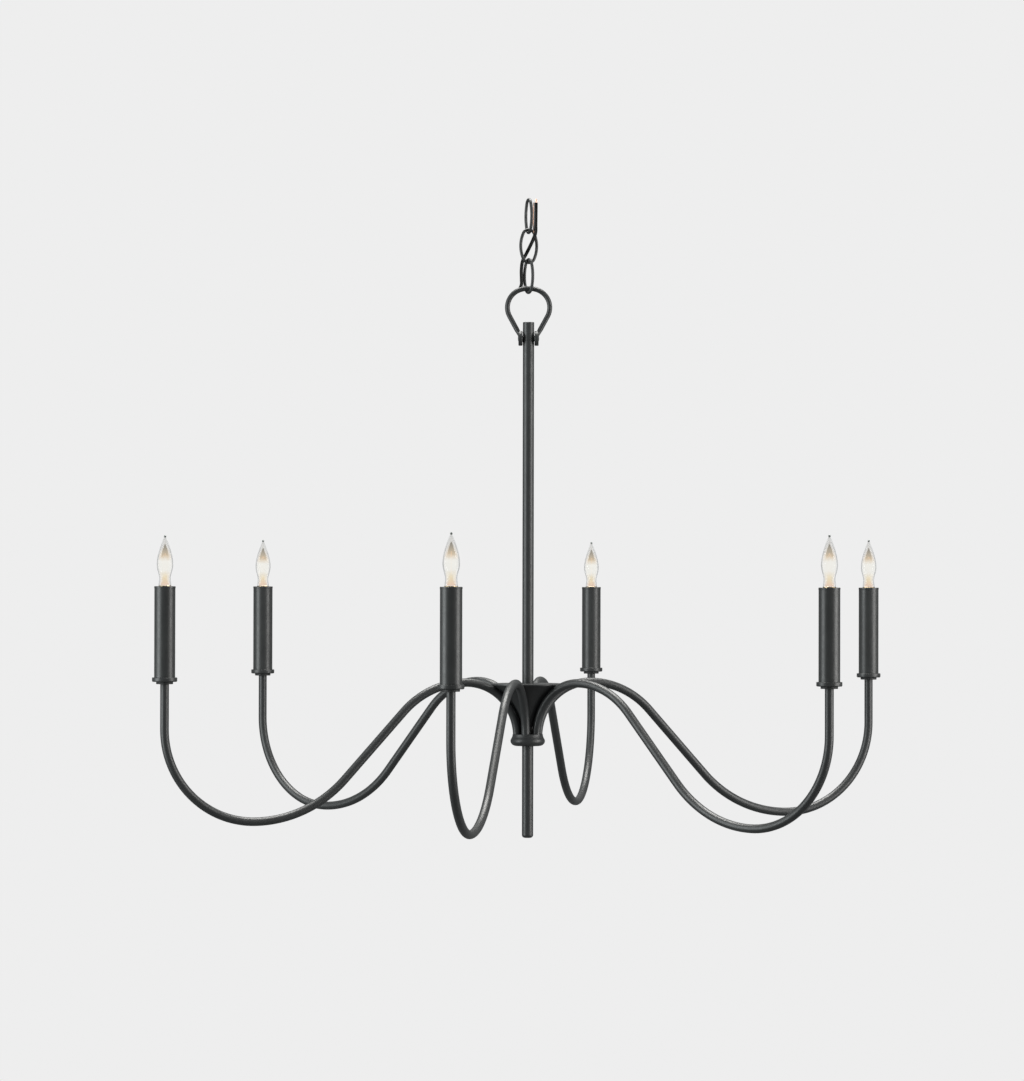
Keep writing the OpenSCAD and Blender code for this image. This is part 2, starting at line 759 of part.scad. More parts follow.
top_link();
middle_link();
bottom_link();
bail();
bail_pin();
stem_tube();
hub_plate();
hub_nut();
hub_funnel();
hub_collar();
tail_rod();
seat_rings();
cup_nuts();
candle_tubes();
socket_shells();
socket_contacts();
arm_wires();
junction_block();
cord_bushing();
supply_cord();
ground_wire();
for (i = [1:arm_count]) {
    arm(i);
    cup(i);
    socket(i);
    sleeve(i);
    bulb_cap(i);
    bulb_glass(i);
}
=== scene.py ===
"""Finishes and fine meshes for a six-arm candle chandelier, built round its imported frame."""

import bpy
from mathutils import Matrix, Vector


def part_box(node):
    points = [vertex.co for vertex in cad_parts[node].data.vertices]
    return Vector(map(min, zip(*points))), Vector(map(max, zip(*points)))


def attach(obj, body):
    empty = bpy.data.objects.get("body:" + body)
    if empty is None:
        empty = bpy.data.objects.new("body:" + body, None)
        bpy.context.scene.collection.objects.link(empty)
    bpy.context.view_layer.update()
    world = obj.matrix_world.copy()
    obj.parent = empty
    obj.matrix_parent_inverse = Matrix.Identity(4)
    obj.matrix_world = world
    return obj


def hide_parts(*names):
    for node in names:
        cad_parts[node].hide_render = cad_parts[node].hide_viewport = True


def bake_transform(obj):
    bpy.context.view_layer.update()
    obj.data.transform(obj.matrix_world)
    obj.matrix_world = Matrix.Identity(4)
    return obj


bl_info = {
    "name": "Candle Chandelier",
    "version": (1, 0, 0),
    "blender": (4, 5, 0),
    "location": "View3D > Sidebar > Chandelier",
    "description": "Builds the visible pieces of a candle chandelier round its frame",
    "category": "Add Mesh",
}

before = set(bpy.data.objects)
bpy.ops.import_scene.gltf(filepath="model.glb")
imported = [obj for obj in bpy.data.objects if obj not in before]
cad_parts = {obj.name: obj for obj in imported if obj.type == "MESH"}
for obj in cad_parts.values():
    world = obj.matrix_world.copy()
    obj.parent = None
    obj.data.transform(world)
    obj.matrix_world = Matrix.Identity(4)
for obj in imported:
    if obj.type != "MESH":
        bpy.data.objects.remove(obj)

import math

import bmesh
import bpy
from bpy.props import FloatProperty, FloatVectorProperty, PointerProperty
from mathutils import Euler, Matrix, Vector

MM = 0.001


# Places that come from the frame


def low(node):
    return Vector(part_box(node)[0])


def high(node):
    return Vector(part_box(node)[1])


def middle(node):
    return (low(node) + high(node)) / 2


def radius_of(node):
    return (high(node).x - low(node).x) / 2


def numbered(kind):
    """The numbers of the frame's nodes that are called kind_1, kind_2 and so on."""
    return sorted(int(n[len(kind):]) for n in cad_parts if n.startswith(kind) and n[len(kind):].isdigit())


ARMS = numbered("arm_")
STEM_R = high("stem_tube").x
PIN_Z = middle("bail_pin").z
PLATE_TOP = high("hub_plate").z
HUB_BASE = low("hub_collar").z
COLLAR_TOP = high("hub_collar").z
TIP_Z = low("seat_rings").z
SLEEVE_TOP = high("sleeve_1").z
GLASS_FOOT = low("bulb_glass_1").z
GLASS_TIP = high("bulb_glass_1").z


# Sizes and colours


def length(name, description, millimetres):
    return FloatProperty(
        name=name, description=description, default=millimetres * MM, min=0, unit="LENGTH", precision=5
    )


def colour(name, description, value):
    return FloatVectorProperty(name=name, description=description, default=value, min=0, max=1, subtype="COLOR")


class ChandelierSizes(bpy.types.PropertyGroup):
    """Sizes of the pieces that the frame's boxes don't give."""

    tube: length("Arm tube", "Outside diameter of the arm tube", 9.5)
    tube_wall: length("Arm wall", "Wall of the arm tube", 1)
    root_gap: length("Root gap", "Gap between the stem and the arms' roots", 1.3)
    root_bend: length("Root bend", "Bend radius between the collar and the crest", 61)
    shoulder_bend: length("Shoulder bend", "Bend radius just outside the crest", 98)
    belly_bend: length("Belly bend", "Bend radius before the lowest point", 139)
    bow_bend: length("Bow bend", "Bend radius from the lowest point up to the candle", 102)
    stem_wall: length("Stem wall", "Wall of the stem tube", 1.2)
    link_width: length("Link width", "Outside width of a chain link", 22.5)
    link_wire: length("Link wire", "Diameter of the chain's wire", 3.4)
    link_end_bend: length("Link end", "Bend radius at a link's ends", 7)
    rod: length("Bail rod", "Diameter of the bail's rod", 5.6)
    crown_bend: length("Bail crown", "Bend radius of the bail's crown", 31.3)
    bail_shoulder_bend: length("Bail shoulder", "Bend radius of the bail's shoulders", 21)
    bail_foot_bend: length("Bail foot", "Bend radius at the foot of each leg", 8)
    eye: length("Eye", "Radius of the eye at the foot of each leg", 8.3)
    eye_thickness: length("Eye thickness", "Thickness of the flattened eyes", 4.6)
    pin: length("Pin", "Diameter of the cross pin", 6.6)
    sleeve_wall: length("Sleeve wall", "Wall of a candle sleeve", 0.9)
    strand: length("Strand", "Diameter of each insulated strand of the cord", 2.05)
    twist: length("Twist", "Length in which the cord makes one turn", 700)
    ground: length("Ground wire", "Diameter of the bare ground wire", 1.2)
    glass_wall: length("Glass wall", "Wall of the bulb's glass", 0.55)
    bail_lean: FloatProperty(
        name="Bail lean", description="Lean of the bail's legs", default=math.radians(28.5), subtype="ANGLE"
    )
    chain_turn: FloatProperty(
        name="Chain turn", description="Turn of the chain about its own line", default=math.radians(20),
        subtype="ANGLE",
    )
    link_twist: FloatProperty(
        name="Link twist", description="How far the bottom link is turned past square to the middle one",
        default=math.radians(9), subtype="ANGLE",
    )


class ChandelierColours(bpy.types.PropertyGroup):
    """Colours of the finishes and the brightness of the bulbs."""

    paint: colour("Paint", "Charcoal paint of the frame", (0.026, 0.0275, 0.028))
    sleeve: colour("Sleeve", "Paint of the candle sleeves", (0.028, 0.0295, 0.0295))
    brass: colour("Brass", "Screw shells and bulb caps", (0.52, 0.40, 0.24))
    copper: colour("Copper", "Bare ground wire", (0.72, 0.42, 0.30))
    cord: colour("Cord", "Insulation of the supply cord", (0.006, 0.006, 0.006))
    background: colour("Background", "Floor and surroundings", (0.855, 0.855, 0.855))
    glow: FloatProperty(name="Glow", description="Brightness of the lit bulbs", default=1.0, min=0)


# Meshes


def arc(centre, radius, start, end, steps):
    """Points on a round stretch of an outline, angles in degrees."""
    angles = [math.radians(start + (end - start) * n / steps) for n in range(steps + 1)]
    return [(centre[0] + radius * math.cos(a), centre[1] + radius * math.sin(a)) for a in angles]


def spun(outline, steps=64, closed=True, bevel=0.0):
    """A turned shape: an outline of (radius, height) points spun about the Z axis."""
    bm = bmesh.new()
    points = [bm.verts.new((r, 0, z)) for r, z in outline]
    pairs = list(zip(points, points[1:]))
    if closed:
        pairs.append((points[-1], points[0]))
    edges = [bm.edges.new(pair) for pair in pairs]
    bmesh.ops.spin(
        bm, geom=points + edges, cent=(0, 0, 0), axis=(0, 0, 1), dvec=(0, 0, 0), angle=2 * math.pi,
        steps=steps, use_merge=True, use_duplicate=False,
    )
    bmesh.ops.remove_doubles(bm, verts=bm.verts, dist=1e-7)
    bmesh.ops.recalc_face_normals(bm, faces=bm.faces)
    if bevel:
        soften(bm, bevel)
    return bm


def soften(bm, offset, angle=28, segments=2):
    """Rounds every edge that is sharper than an angle."""
    sharp = [e for e in bm.edges if len(e.link_faces) == 2 and e.calc_face_angle() > math.radians(angle)]
    bmesh.ops.bevel(
        bm, geom=sharp, offset=offset, segments=segments, affect="EDGES", profile=0.5, material=-1,
        clamp_overlap=True,
    )


def join(bm, other):
    """Adds another bmesh's shape to bm."""
    mesh = bpy.data.meshes.new("part")
    other.to_mesh(mesh)
    other.free()
    bm.from_mesh(mesh)
    bpy.data.meshes.remove(mesh)


def place(bm, *, turn=0.0, axis="Z", move=(0, 0, 0)):
    """Turns a bmesh about an axis through the origin, then moves it."""
    matrix = Matrix.Translation(move) @ Matrix.Rotation(turn, 4, axis)
    bmesh.ops.transform(bm, matrix=matrix, verts=bm.verts)
    return bm


def piece(name, bm, finish, body, replaces=(), slot=None, sharp=40):
    """Turns a bmesh into a finished piece that rides on a body of the frame, or stays fixed in place when given
    several bodies.
    """
    mesh = bpy.data.meshes.new(name)
    bm.to_mesh(mesh)
    bm.free()
    thing = bpy.data.objects.new(name, mesh)
    bpy.context.scene.collection.objects.link(thing)
    mesh.shade_smooth()
    mesh.set_sharp_from_angle(angle=math.radians(sharp))
    mesh.materials.append(FINISHES[finish])
    settle(thing, body, replaces)
    return thing


def black_piece(name, bm, node, finish="paint", **shading):
    """A black painted piece of the fixture, in place of one node."""
    return piece(name, bm, finish, "fixture", [node], "frame_black", **shading)


def settle(thing, body, replaces=()):
    if isinstance(body, str):
        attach(thing, body)
    else:
        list(body)
        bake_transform(thing)
    if replaces:
        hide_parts(*replaces)


class Bender:
    """A round rod made the way it is bent, in the XZ plane: straight runs and bends, one after another."""

    def __init__(self, start, heading, radius, sides=24):
        self.bm = bmesh.new()
        self.at = Vector((start[0], 0, start[1]))
        self.heading = math.radians(heading)
        facing = Matrix.Rotation(math.pi / 2 - self.heading, 4, "Y")
        ring = bmesh.ops.create_circle(
            self.bm, cap_ends=False, segments=sides, radius=radius, matrix=Matrix.Translation(self.at) @ facing
        )
        self.ring = list({e for v in ring["verts"] for e in v.link_edges})
        self.first = list(self.ring)

    def forward(self):
        return Vector((math.cos(self.heading), 0, math.sin(self.heading)))

    def straight(self, run):
        grown = bmesh.ops.extrude_edge_only(self.bm, edges=self.ring)["geom"]
        verts = {v for v in grown if isinstance(v, bmesh.types.BMVert)}
        bmesh.ops.translate(self.bm, verts=list(verts), vec=self.forward() * run)
        self.ring = [e for e in grown if isinstance(e, bmesh.types.BMEdge) and set(e.verts) <= verts]
        self.at += self.forward() * run
        return self

    def bend(self, radius, angle, steps):
        """Bends by an angle in degrees: up or left is positive."""
        side = 1 if angle > 0 else -1
        left = Vector((-math.sin(self.heading), 0, math.cos(self.heading)))
        centre = self.at + side * radius * left
        verts = {v for e in self.ring for v in e.verts}
        swept = bmesh.ops.spin(
            self.bm, geom=self.ring + list(verts), cent=centre, axis=(0, -1, 0), dvec=(0, 0, 0),
            angle=math.radians(angle), steps=steps, use_merge=False, use_duplicate=False,
        )
        self.ring = [e for e in swept["geom_last"] if isinstance(e, bmesh.types.BMEdge)]
        turn = Matrix.Rotation(math.radians(angle), 3, (0, -1, 0))
        self.at = centre + turn @ (self.at - centre)
        self.heading += math.radians(angle)
        return self

    def flatten(self, thick, wide):
        """Scales the current ring in the bending plane and square to it."""
        left = Vector((-math.sin(self.heading), 0, math.cos(self.heading)))
        axes = Matrix((left, (0, 1, 0), self.forward())).to_4x4()
        verts = list({v for e in self.ring for v in e.verts})
        bmesh.ops.scale(
            self.bm, vec=(thick, wide, 1), space=axes @ Matrix.Translation(-self.at), verts=verts
        )
        return self

    def rod(self):
        """The finished rod, closed at both ends."""
        bmesh.ops.holes_fill(self.bm, edges=self.first, sides=0)
        bmesh.ops.holes_fill(self.bm, edges=self.ring, sides=0)
        bmesh.ops.recalc_face_normals(self.bm, faces=self.bm.faces)
        return self.bm

    def loop(self):
        """The finished rod, joined end to end."""
        bmesh.ops.remove_doubles(self.bm, verts=self.bm.verts, dist=2e-5)
        bmesh.ops.recalc_face_normals(self.bm, faces=self.bm.faces)
        return self.bm

    def tube(self, wall):
        """The finished rod with a bore, open at both ends."""
        bmesh.ops.recalc_face_normals(self.bm, faces=self.bm.faces)
        bmesh.ops.solidify(self.bm, geom=self.bm.faces, thickness=wall)
        bmesh.ops.recalc_face_normals(self.bm, faces=self.bm.faces)
        return self.bm


# Finishes


class Finish:
    """A material being mixed: one Principled shader and the patterns that feed it."""

    def __init__(self, name, **values):
        self.material = bpy.data.materials.new(name)
        self.material.use_nodes = True
        self.nodes = self.material.node_tree.nodes
        self.links = self.material.node_tree.links
        self.shader = self.nodes["Principled BSDF"]
        self.where = self.nodes.new("ShaderNodeTexCoord").outputs["Object"]
        for socket, value in values.items():
            self.set(socket, value)

    def set(self, socket, value):
        """Sets or feeds one of the shader's sockets, named in lower case with underscores."""
        target = next(s for s in self.shader.inputs if s.name.lower().replace(" ", "_") == socket)
        if isinstance(value, bpy.types.NodeSocket):
            self.links.new(value, target)
        elif target.type == "RGBA" and len(value) == 3:
            target.default_value = (*value, 1)
        else:
            target.default_value = value

    def node(self, kind, inputs=None, **settings):
        made = self.nodes.new("ShaderNode" + kind)
        for name, value in settings.items():
            setattr(made, name, value)
        for name, value in (inputs or {}).items():
            if isinstance(value, bpy.types.NodeSocket):
                self.links.new(value, made.inputs[name])
            else:
                made.inputs[name].default_value = value
        return made

    def noise(self, scale, detail=3, roughness=0.55, stretch=None):
        where = self.where
        if stretch:
            where = self.node("Mapping", {"Vector": where, "Scale": stretch}).outputs["Vector"]
        inputs = {"Vector": where, "Scale": scale, "Detail": detail, "Roughness": roughness}
        return self.node("TexNoise", inputs).outputs["Fac"]

    def spread(self, source, lowest, highest, start=0.3, end=0.7):
        """A pattern stretched so that start..end becomes lowest..highest."""
        inputs = {"Value": source, "From Min": start, "From Max": end, "To Min": lowest, "To Max": highest}
        return self.node("MapRange", inputs).outputs["Result"]

    def ramp(self, source, *stops):
        """Colours along a pattern: stops are (position, colour)."""
        made = self.node("ValToRGB", {"Fac": source})
        elements = made.color_ramp.elements
        while len(elements) < len(stops):
            elements.new(0.5)
        for element, (position, shade) in zip(elements, stops):
            element.position = position
            element.color = (*shade, 1) if len(shade) == 3 else shade
        return made

    def blend(self, factor, first, second):
        made = self.node("Mix", data_type="RGBA")
        for socket, value in zip((made.inputs[0], made.inputs[6], made.inputs[7]), (factor, first, second)):
            if isinstance(value, bpy.types.NodeSocket):
                self.links.new(value, socket)
            elif socket.type == "RGBA":
                socket.default_value = (*value, 1)
            else:
                socket.default_value = value
        return made.outputs[2]

    def bump(self, height, distance, strength=1.0, under=None):
        inputs = {"Height": height, "Distance": distance, "Strength": strength}
        if under:
            inputs["Normal"] = under
        return self.node("Bump", inputs).outputs["Normal"]

    def height(self, base, top):
        """How far up a point lies between two heights, from 0 to 1."""
        z = self.node("SeparateXYZ", {"Vector": self.where}).outputs["Z"]
        return self.node("MapRange", {"Value": z, "From Min": base, "From Max": top}).outputs["Result"]


def scaled(shade, factor):
    return tuple(min(c * factor, 1) for c in shade)


def painted_metal(name, shade, roughness, peel):
    """Sprayed charcoal paint: soft cloudiness, fine orange peel and a dusting of specks."""
    finish = Finish(name, metallic=0.0, specular_ior_level=0.5)
    clouds = finish.spread(finish.noise(38, detail=4), 0, 1)
    base = finish.blend(clouds, scaled(shade, 0.88), scaled(shade, 1.14))
    specks = finish.spread(finish.noise(2600, detail=1), 0, 1, start=0.66, end=0.8)
    finish.set("base_color", finish.blend(specks, base, scaled(shade, 1.35)))
    finish.set("roughness", finish.spread(finish.noise(160, detail=4), roughness - 0.04, roughness + 0.05))
    orange_peel = finish.bump(finish.noise(620, detail=2), peel)
    finish.set("normal", finish.bump(finish.noise(3400, detail=2), peel * 0.22, under=orange_peel))
    return finish.material


def rubbed_chain(name, shade):
    """Painted wire, rubbed a little brighter in streaks where links knock together."""
    finish = Finish(name, metallic=0.0)
    rub = finish.spread(finish.noise(210, detail=5, roughness=0.7), 0, 1, start=0.6, end=0.78)
    clouds = finish.spread(finish.noise(90, detail=3), 0, 1)
    base = finish.blend(clouds, scaled(shade, 0.8), scaled(shade, 1.1))
    finish.set("base_color", finish.blend(rub, base, scaled(shade, 1.5)))
    finish.set("roughness", finish.spread(finish.noise(240), 0.36, 0.46))
    finish.set("normal", finish.bump(finish.noise(900, detail=3), 0.00002))
    return finish.material


def mottled(name, shades, pattern, roughness, grain=None, **values):
    """An even surface: a cloudy pattern between two shades, slightly uneven gloss and a fine grain.

    pattern is (scale, detail), roughness (scale, least, most) and grain (scale, detail, depth).
    """
    finish = Finish(name, **values)
    scale, detail = pattern
    finish.set("base_color", finish.blend(finish.spread(finish.noise(scale, detail=detail), 0, 1), *shades))
    scale, least, most = roughness
    finish.set("roughness", finish.spread(finish.noise(scale), least, most))
    if grain:
        scale, detail, depth = grain
        finish.set("normal", finish.bump(finish.noise(scale, detail=detail), depth))
    return finish.material


def moulded(name, shade, roughness):
    """Moulded plastic or rubber with a fine grain."""
    shades = (scaled(shade, 0.9), scaled(shade, 1.12))
    gloss = (300, roughness - 0.05, roughness + 0.07)
    return mottled(name, shades, (120, 3), gloss, (2200, 2, 0.00003), metallic=0.0)


def rolled_brass(shade):
    """Thin rolled brass, tarnished in patches."""
    finish = Finish("rolled_brass", metallic=1.0)
    tarnish = finish.spread(finish.noise(300, detail=5, roughness=0.65), 0, 1, start=0.45, end=0.75)
    finish.set("base_color", finish.blend(tarnish, shade, scaled(shade, 0.6)))
    finish.set("roughness", finish.spread(tarnish, 0.38, 0.55, start=0, end=1))
    finish.set("normal", finish.bump(finish.noise(900, detail=2, stretch=(1, 1, 4)), 0.00002))
    return finish.material


def bare_copper(shade):
    finish = Finish("bare_copper", metallic=1.0)
    dulled = finish.spread(finish.noise(240, detail=4), 0, 1)
    finish.set("base_color", finish.blend(dulled, shade, scaled(shade, 0.66)))
    finish.set("roughness", finish.spread(dulled, 0.3, 0.5, start=0, end=1))
    finish.set("normal", finish.bump(finish.noise(1800), 0.00002))
    return finish.material


def clear_glass():
    """Thin clear glass: hardly there face on, with a painted grey outline at its edges in place of the
    reflection and refraction there, and greyer and more opaque towards the tip.
    """
    finish = Finish("clear_glass", metallic=0.0, specular_ior_level=0.3)
    drawn = finish.noise(60, detail=2, stretch=(1, 1, 0.35))
    up = finish.height(GLASS_FOOT, GLASS_TIP)
    tint = finish.ramp(up, (0.0, (0.24, 0.25, 0.25)), (0.7, (0.24, 0.24, 0.23)), (1.0, (0.26, 0.25, 0.22)))
    finish.set("base_color", finish.blend(finish.spread(drawn, 0, 0.1), tint.outputs["Color"], (0.5, 0.5, 0.5)))
    finish.set("roughness", finish.spread(finish.noise(200), 0.03, 0.06))
    # Painted edge shade: the grey base colour shows more where the glass turns away from view, in place of its
    # reflection and refraction.
    edge = finish.node("LayerWeight", {"Blend": 0.5}).outputs["Facing"]
    rim = finish.ramp(edge, (0.0, (0.015,) * 3), (0.5, (0.035,) * 3), (0.8, (0.3,) * 3), (1.0, (0.6,) * 3))
    # Greyer and more opaque towards the tip.
    tip_grey = finish.ramp(up, (0.0, (0.0,) * 3), (0.6, (0.0,) * 3), (0.9, (0.07,) * 3), (1.0, (0.16,) * 3))
    inputs = {0: rim.outputs["Color"], 1: tip_grey.outputs["Color"]}
    finish.set("alpha", finish.node("Math", inputs, operation="ADD").outputs["Value"])
    finish.set("normal", finish.bump(drawn, 0.00006))
    return finish.material


def glowing(name, strength, alpha, *stops):
    """Light inside a bulb, coloured by how far up the glass it lies: the filament's own glow, and painted glow
    on the mount and the shells around it.
    """
    finish = Finish(name, metallic=0.0, roughness=1.0, specular_ior_level=0.0, base_color=(0, 0, 0))
    up = finish.height(GLASS_FOOT, GLASS_TIP)
    shimmer = finish.spread(finish.noise(420, detail=3), -0.03, 0.03)
    up = finish.node("Math", {0: up, 1: shimmer}, operation="ADD").outputs["Value"]
    colours = finish.ramp(up, *stops)
    finish.set("emission_color", colours.outputs["Color"])
    finish.set("emission_strength", strength)
    if alpha < 1:
        finish.set("alpha", finish.spread(colours.outputs["Alpha"], 0, alpha, start=0, end=1))
    return finish.material


class Finishes(dict):
    """Every finish by name, all mixed the first time one is asked for."""

    def __missing__(self, name):
        self.update(mix_finishes(bpy.context.scene.chandelier_colours))
        return self.get(name)


FINISHES = Finishes()


def mix_finishes(colours):
    peach, yellow, amber = (0.80, 0.60, 0.48), (0.86, 0.74, 0.52), (0.82, 0.68, 0.50)
    white, tip_grey = (0.90, 0.89, 0.84), (0.62, 0.58, 0.50)
    return dict(
        paint=painted_metal("charcoal_paint", colours.paint, 0.42, 0.00002),
        sleeve=painted_metal("sleeve_paint", colours.sleeve, 0.40, 0.00001),
        # A darker, rougher copy of the charcoal paint: painted shade for the hub's trumpet and the rings under
        # the cups, which sit in shade.
        shade=painted_metal("inner_paint", scaled(colours.paint, 0.7), 0.6, 0.00004),
        chain=rubbed_chain("chain_paint", colours.paint),
        zinc=mottled(
            "zinc_plate", ((0.56, 0.57, 0.58), (0.70, 0.71, 0.70)), (500, 3), (260, 0.28, 0.45),
            (1500, 3, 0.00003), metallic=1.0,
        ),
        brass=rolled_brass(colours.brass),
        copper=bare_copper(colours.copper),
        phenolic=moulded("phenolic", (0.018, 0.018, 0.019), 0.34),
        rubber=moulded("bushing_rubber", (0.014, 0.014, 0.015), 0.62),
        porcelain=moulded("junction_body", (0.74, 0.72, 0.66), 0.4),
        insulation=moulded("wire_insulation", (0.03, 0.028, 0.026), 0.4),
        cord=mottled(
            "cord_insulation", (scaled(colours.cord, 0.85), scaled(colours.cord, 1.3)), (150, 4),
            (420, 0.38, 0.5), (1300, 2, 0.00001), metallic=0.0, specular_ior_level=0.22,
        ),
        glass=clear_glass(),
        tip=mottled(
            "sealed_tip", ((0.10, 0.11, 0.105), (0.20, 0.22, 0.21)), (700, 3), (500, 0.08, 0.2), metallic=0.0
        ),
        filament=glowing("hot_filament", colours.glow, 1, (0.2, (0.8, 0.52, 0.3)), (0.5, (0.9, 0.62, 0.4)),
                         (0.75, (0.66, 0.4, 0.26))),
        # Painted glow on the glass mount: peach at its foot, then yellow and white.
        mount=glowing("lit_mount", colours.glow, 0.55, (0.0, peach), (0.2, yellow), (0.35, white)),
        # Painted glow inside the glass: peach at the foot, white in the middle, amber and grey towards the tip.
        halo=glowing(
            "halo", colours.glow, 0.5, (0.0, (*peach, 0.8)), (0.14, (*yellow, 0.5)), (0.3, (*white, 0.9)),
            (0.48, (*white, 1)), (0.6, (*amber, 0.42)), (0.8, (*tip_grey, 0.2)), (1.0, (*tip_grey, 0.18)),
        ),
    )


# Chain and bail


def chain_link(sizes, node, turn):
    """An oval link of four arcs, with the butt seam of its wire on one side."""
    box_low, box_high = low(node), high(node)
    half_length = (box_high.z - box_low.z - sizes.link_wire) / 2
    half_width = (sizes.link_width - sizes.link_wire) / 2
    end = sizes.link_end_bend
    side = (half_width**2 + (half_length - end) ** 2 - end**2) / (2 * (half_width - end))
    side_sweep = math.degrees(math.atan2(half_length - end, side - half_width))
    end_sweep = 180 - 2 * side_sweep
    seam = math.degrees(0.35 * MM / side)
    wire = Bender((half_width, 0), 90, sizes.link_wire / 2, sides=20)
    wire.bend(side, seam, 1).bend(side, side_sweep - seam, 8).bend(end, end_sweep, 14)
    wire.bend(side, 2 * side_sweep, 16).bend(end, end_sweep, 14)
    wire.bend(side, side_sweep - seam, 8).bend(side, seam, 1)
    bm = wire.loop()
    groove = [v for v in bm.verts if v.co.x > 0 and abs(v.co.z) < 1e-6]
    centre = Vector((half_width, 0, 0))
    bmesh.ops.scale(bm, vec=(0.9, 0.9, 1), space=Matrix.Translation(-centre), verts=groove)
    place(bm, turn=turn, move=(0, 0, middle(node).z))
    piece("chain_" + node, bm, "chain", node, [node], "chain_iron")


class CHANDELIER_OT_chain(bpy.types.Operator):
    """Bends the three chain links"""

    bl_idname = "chandelier.chain"
    bl_label = "Chain Links"

    def execute(self, context):
        sizes = context.scene.chandelier_sizes
        quarter = math.pi / 2
        chain_link(sizes, "top_link", sizes.chain_turn + quarter)
        chain_link(sizes, "middle_link", sizes.chain_turn)
        chain_link(sizes, "bottom_link", sizes.chain_turn + quarter + sizes.link_twist)
        return {"FINISHED"}


class CHANDELIER_OT_bail(bpy.types.Operator):
    """Bends the bail from one rod, with an eye at each foot, and turns its cross pin"""

    bl_idname = "chandelier.bail"
    bl_label = "Bail and Pin"

    def execute(self, context):
        sizes = context.scene.chandelier_sizes
        rod_r = sizes.rod / 2
        lean = math.degrees(sizes.bail_lean)
        crown_z = high("bail").z - rod_r
        shoulder_x = high("bail").x - rod_r - sizes.bail_shoulder_bend
        crown_over_shoulder = sizes.crown_bend - sizes.bail_shoulder_bend
        crown = math.degrees(math.asin(shoulder_x / crown_over_shoulder))
        shoulder_z = crown_z - sizes.crown_bend + crown_over_shoulder * math.cos(math.radians(crown))
        leg_top_x = shoulder_x + sizes.bail_shoulder_bend * math.cos(sizes.bail_lean)
        leg_top_z = shoulder_z - sizes.bail_shoulder_bend * math.sin(sizes.bail_lean)
        eye_t = sizes.eye_thickness
        foot_x = high("bail_pin").x - 0.6 * MM - eye_t / 2
        leg_foot_x = foot_x + sizes.bail_foot_bend * (1 - math.cos(sizes.bail_lean))
        leg = (leg_top_x - leg_foot_x) / math.sin(sizes.bail_lean)
        leg_drop = leg * math.cos(sizes.bail_lean) + sizes.bail_foot_bend * math.sin(sizes.bail_lean)
        foot_bend_z = leg_top_z - leg_drop
        thin, wide, taper = eye_t / sizes.rod, 1.45, 7 * MM
        rod = Bender((-foot_x, PIN_Z), 90, rod_r, sides=24)
        rod.flatten(thin, wide).straight(foot_bend_z - PIN_Z).bend(sizes.bail_foot_bend, lean, 6)
        rod.straight(taper / 2).flatten((1 + thin) / 2 / thin, (1 + wide) / 2 / wide)
        rod.straight(taper / 2).flatten(2 / (1 + thin), 2 / (1 + wide)).straight(leg - taper)
        rod.bend(sizes.bail_shoulder_bend, crown - 90 - lean, 22)
        rod.bend(sizes.crown_bend, -2 * crown, 10)
        rod.bend(sizes.bail_shoulder_bend, crown - 90 - lean, 22)
        rod.straight(leg - taper).straight(taper / 2).flatten((1 + thin) / 2, (1 + wide) / 2)
        rod.straight(taper / 2).flatten(2 * thin / (1 + thin), 2 * wide / (1 + wide))
        rod.bend(sizes.bail_foot_bend, lean, 6).straight(foot_bend_z - PIN_Z)
        bm = rod.rod()
        bore = sizes.pin / 2 + 0.05 * MM
        for side in (-1, 1):
            outline = [(bore, -eye_t / 2), (sizes.eye, -eye_t / 2), (sizes.eye, eye_t / 2), (bore, eye_t / 2)]
            eye = spun(outline, steps=48)
            soften(eye, 0.9 * MM, segments=4)
            place(eye, turn=math.pi / 2, axis="Y", move=(side * foot_x, 0, PIN_Z))
            join(bm, eye)
        piece("bail_rod", bm, "paint", "bail", ["bail"], "chain_iron")
        self.pin(sizes)
        return {"FINISHED"}

    def pin(self, sizes):
        half = high("bail_pin").x
        r = sizes.pin / 2
        dome = 0.45 * MM
        outline = [(0, -half), (r * 0.62, -half + dome * 0.2), (r, -half + dome)]
        outline += [(radius, -z) for radius, z in reversed(outline)]
        bm = spun(outline, steps=40)
        soften(bm, 0.25 * MM)
        place(bm, turn=math.pi / 2, axis="Y", move=(0, 0, PIN_Z))
        piece("cross_pin", bm, "paint", "bail", ["bail_pin"], "frame_black")


# Stem and hub


def cut(bm, *cutters):
    """Drills a bmesh with others."""
    meshes = []
    for shape in (bm, *cutters):
        mesh = bpy.data.meshes.new("drilled")
        shape.to_mesh(mesh)
        shape.free()
        meshes.append(mesh)
    objects = [bpy.data.objects.new("drilled", mesh) for mesh in meshes]
    for thing in objects:
        bpy.context.scene.collection.objects.link(thing)
    for cutter in objects[1:]:
        drill = objects[0].modifiers.new("drill", "BOOLEAN")
        drill.operation = "DIFFERENCE"
        drill.solver = "EXACT"
        drill.object = cutter
    result = bmesh.new()
    result.from_object(objects[0], bpy.context.evaluated_depsgraph_get())
    for thing in objects:
        mesh = thing.data
        bpy.data.objects.remove(thing)
        bpy.data.meshes.remove(mesh)
    return result


def drill_bit(radius, start, end, axis):
    """A closed cylinder to drill with, along X or Y."""
    bm = spun([(0, start), (radius, start), (radius, end), (0, end)], steps=40, closed=False)
    if axis == "X":
        return place(bm, turn=math.pi / 2, axis="Y")
    return place(bm, turn=-math.pi / 2, axis="X")


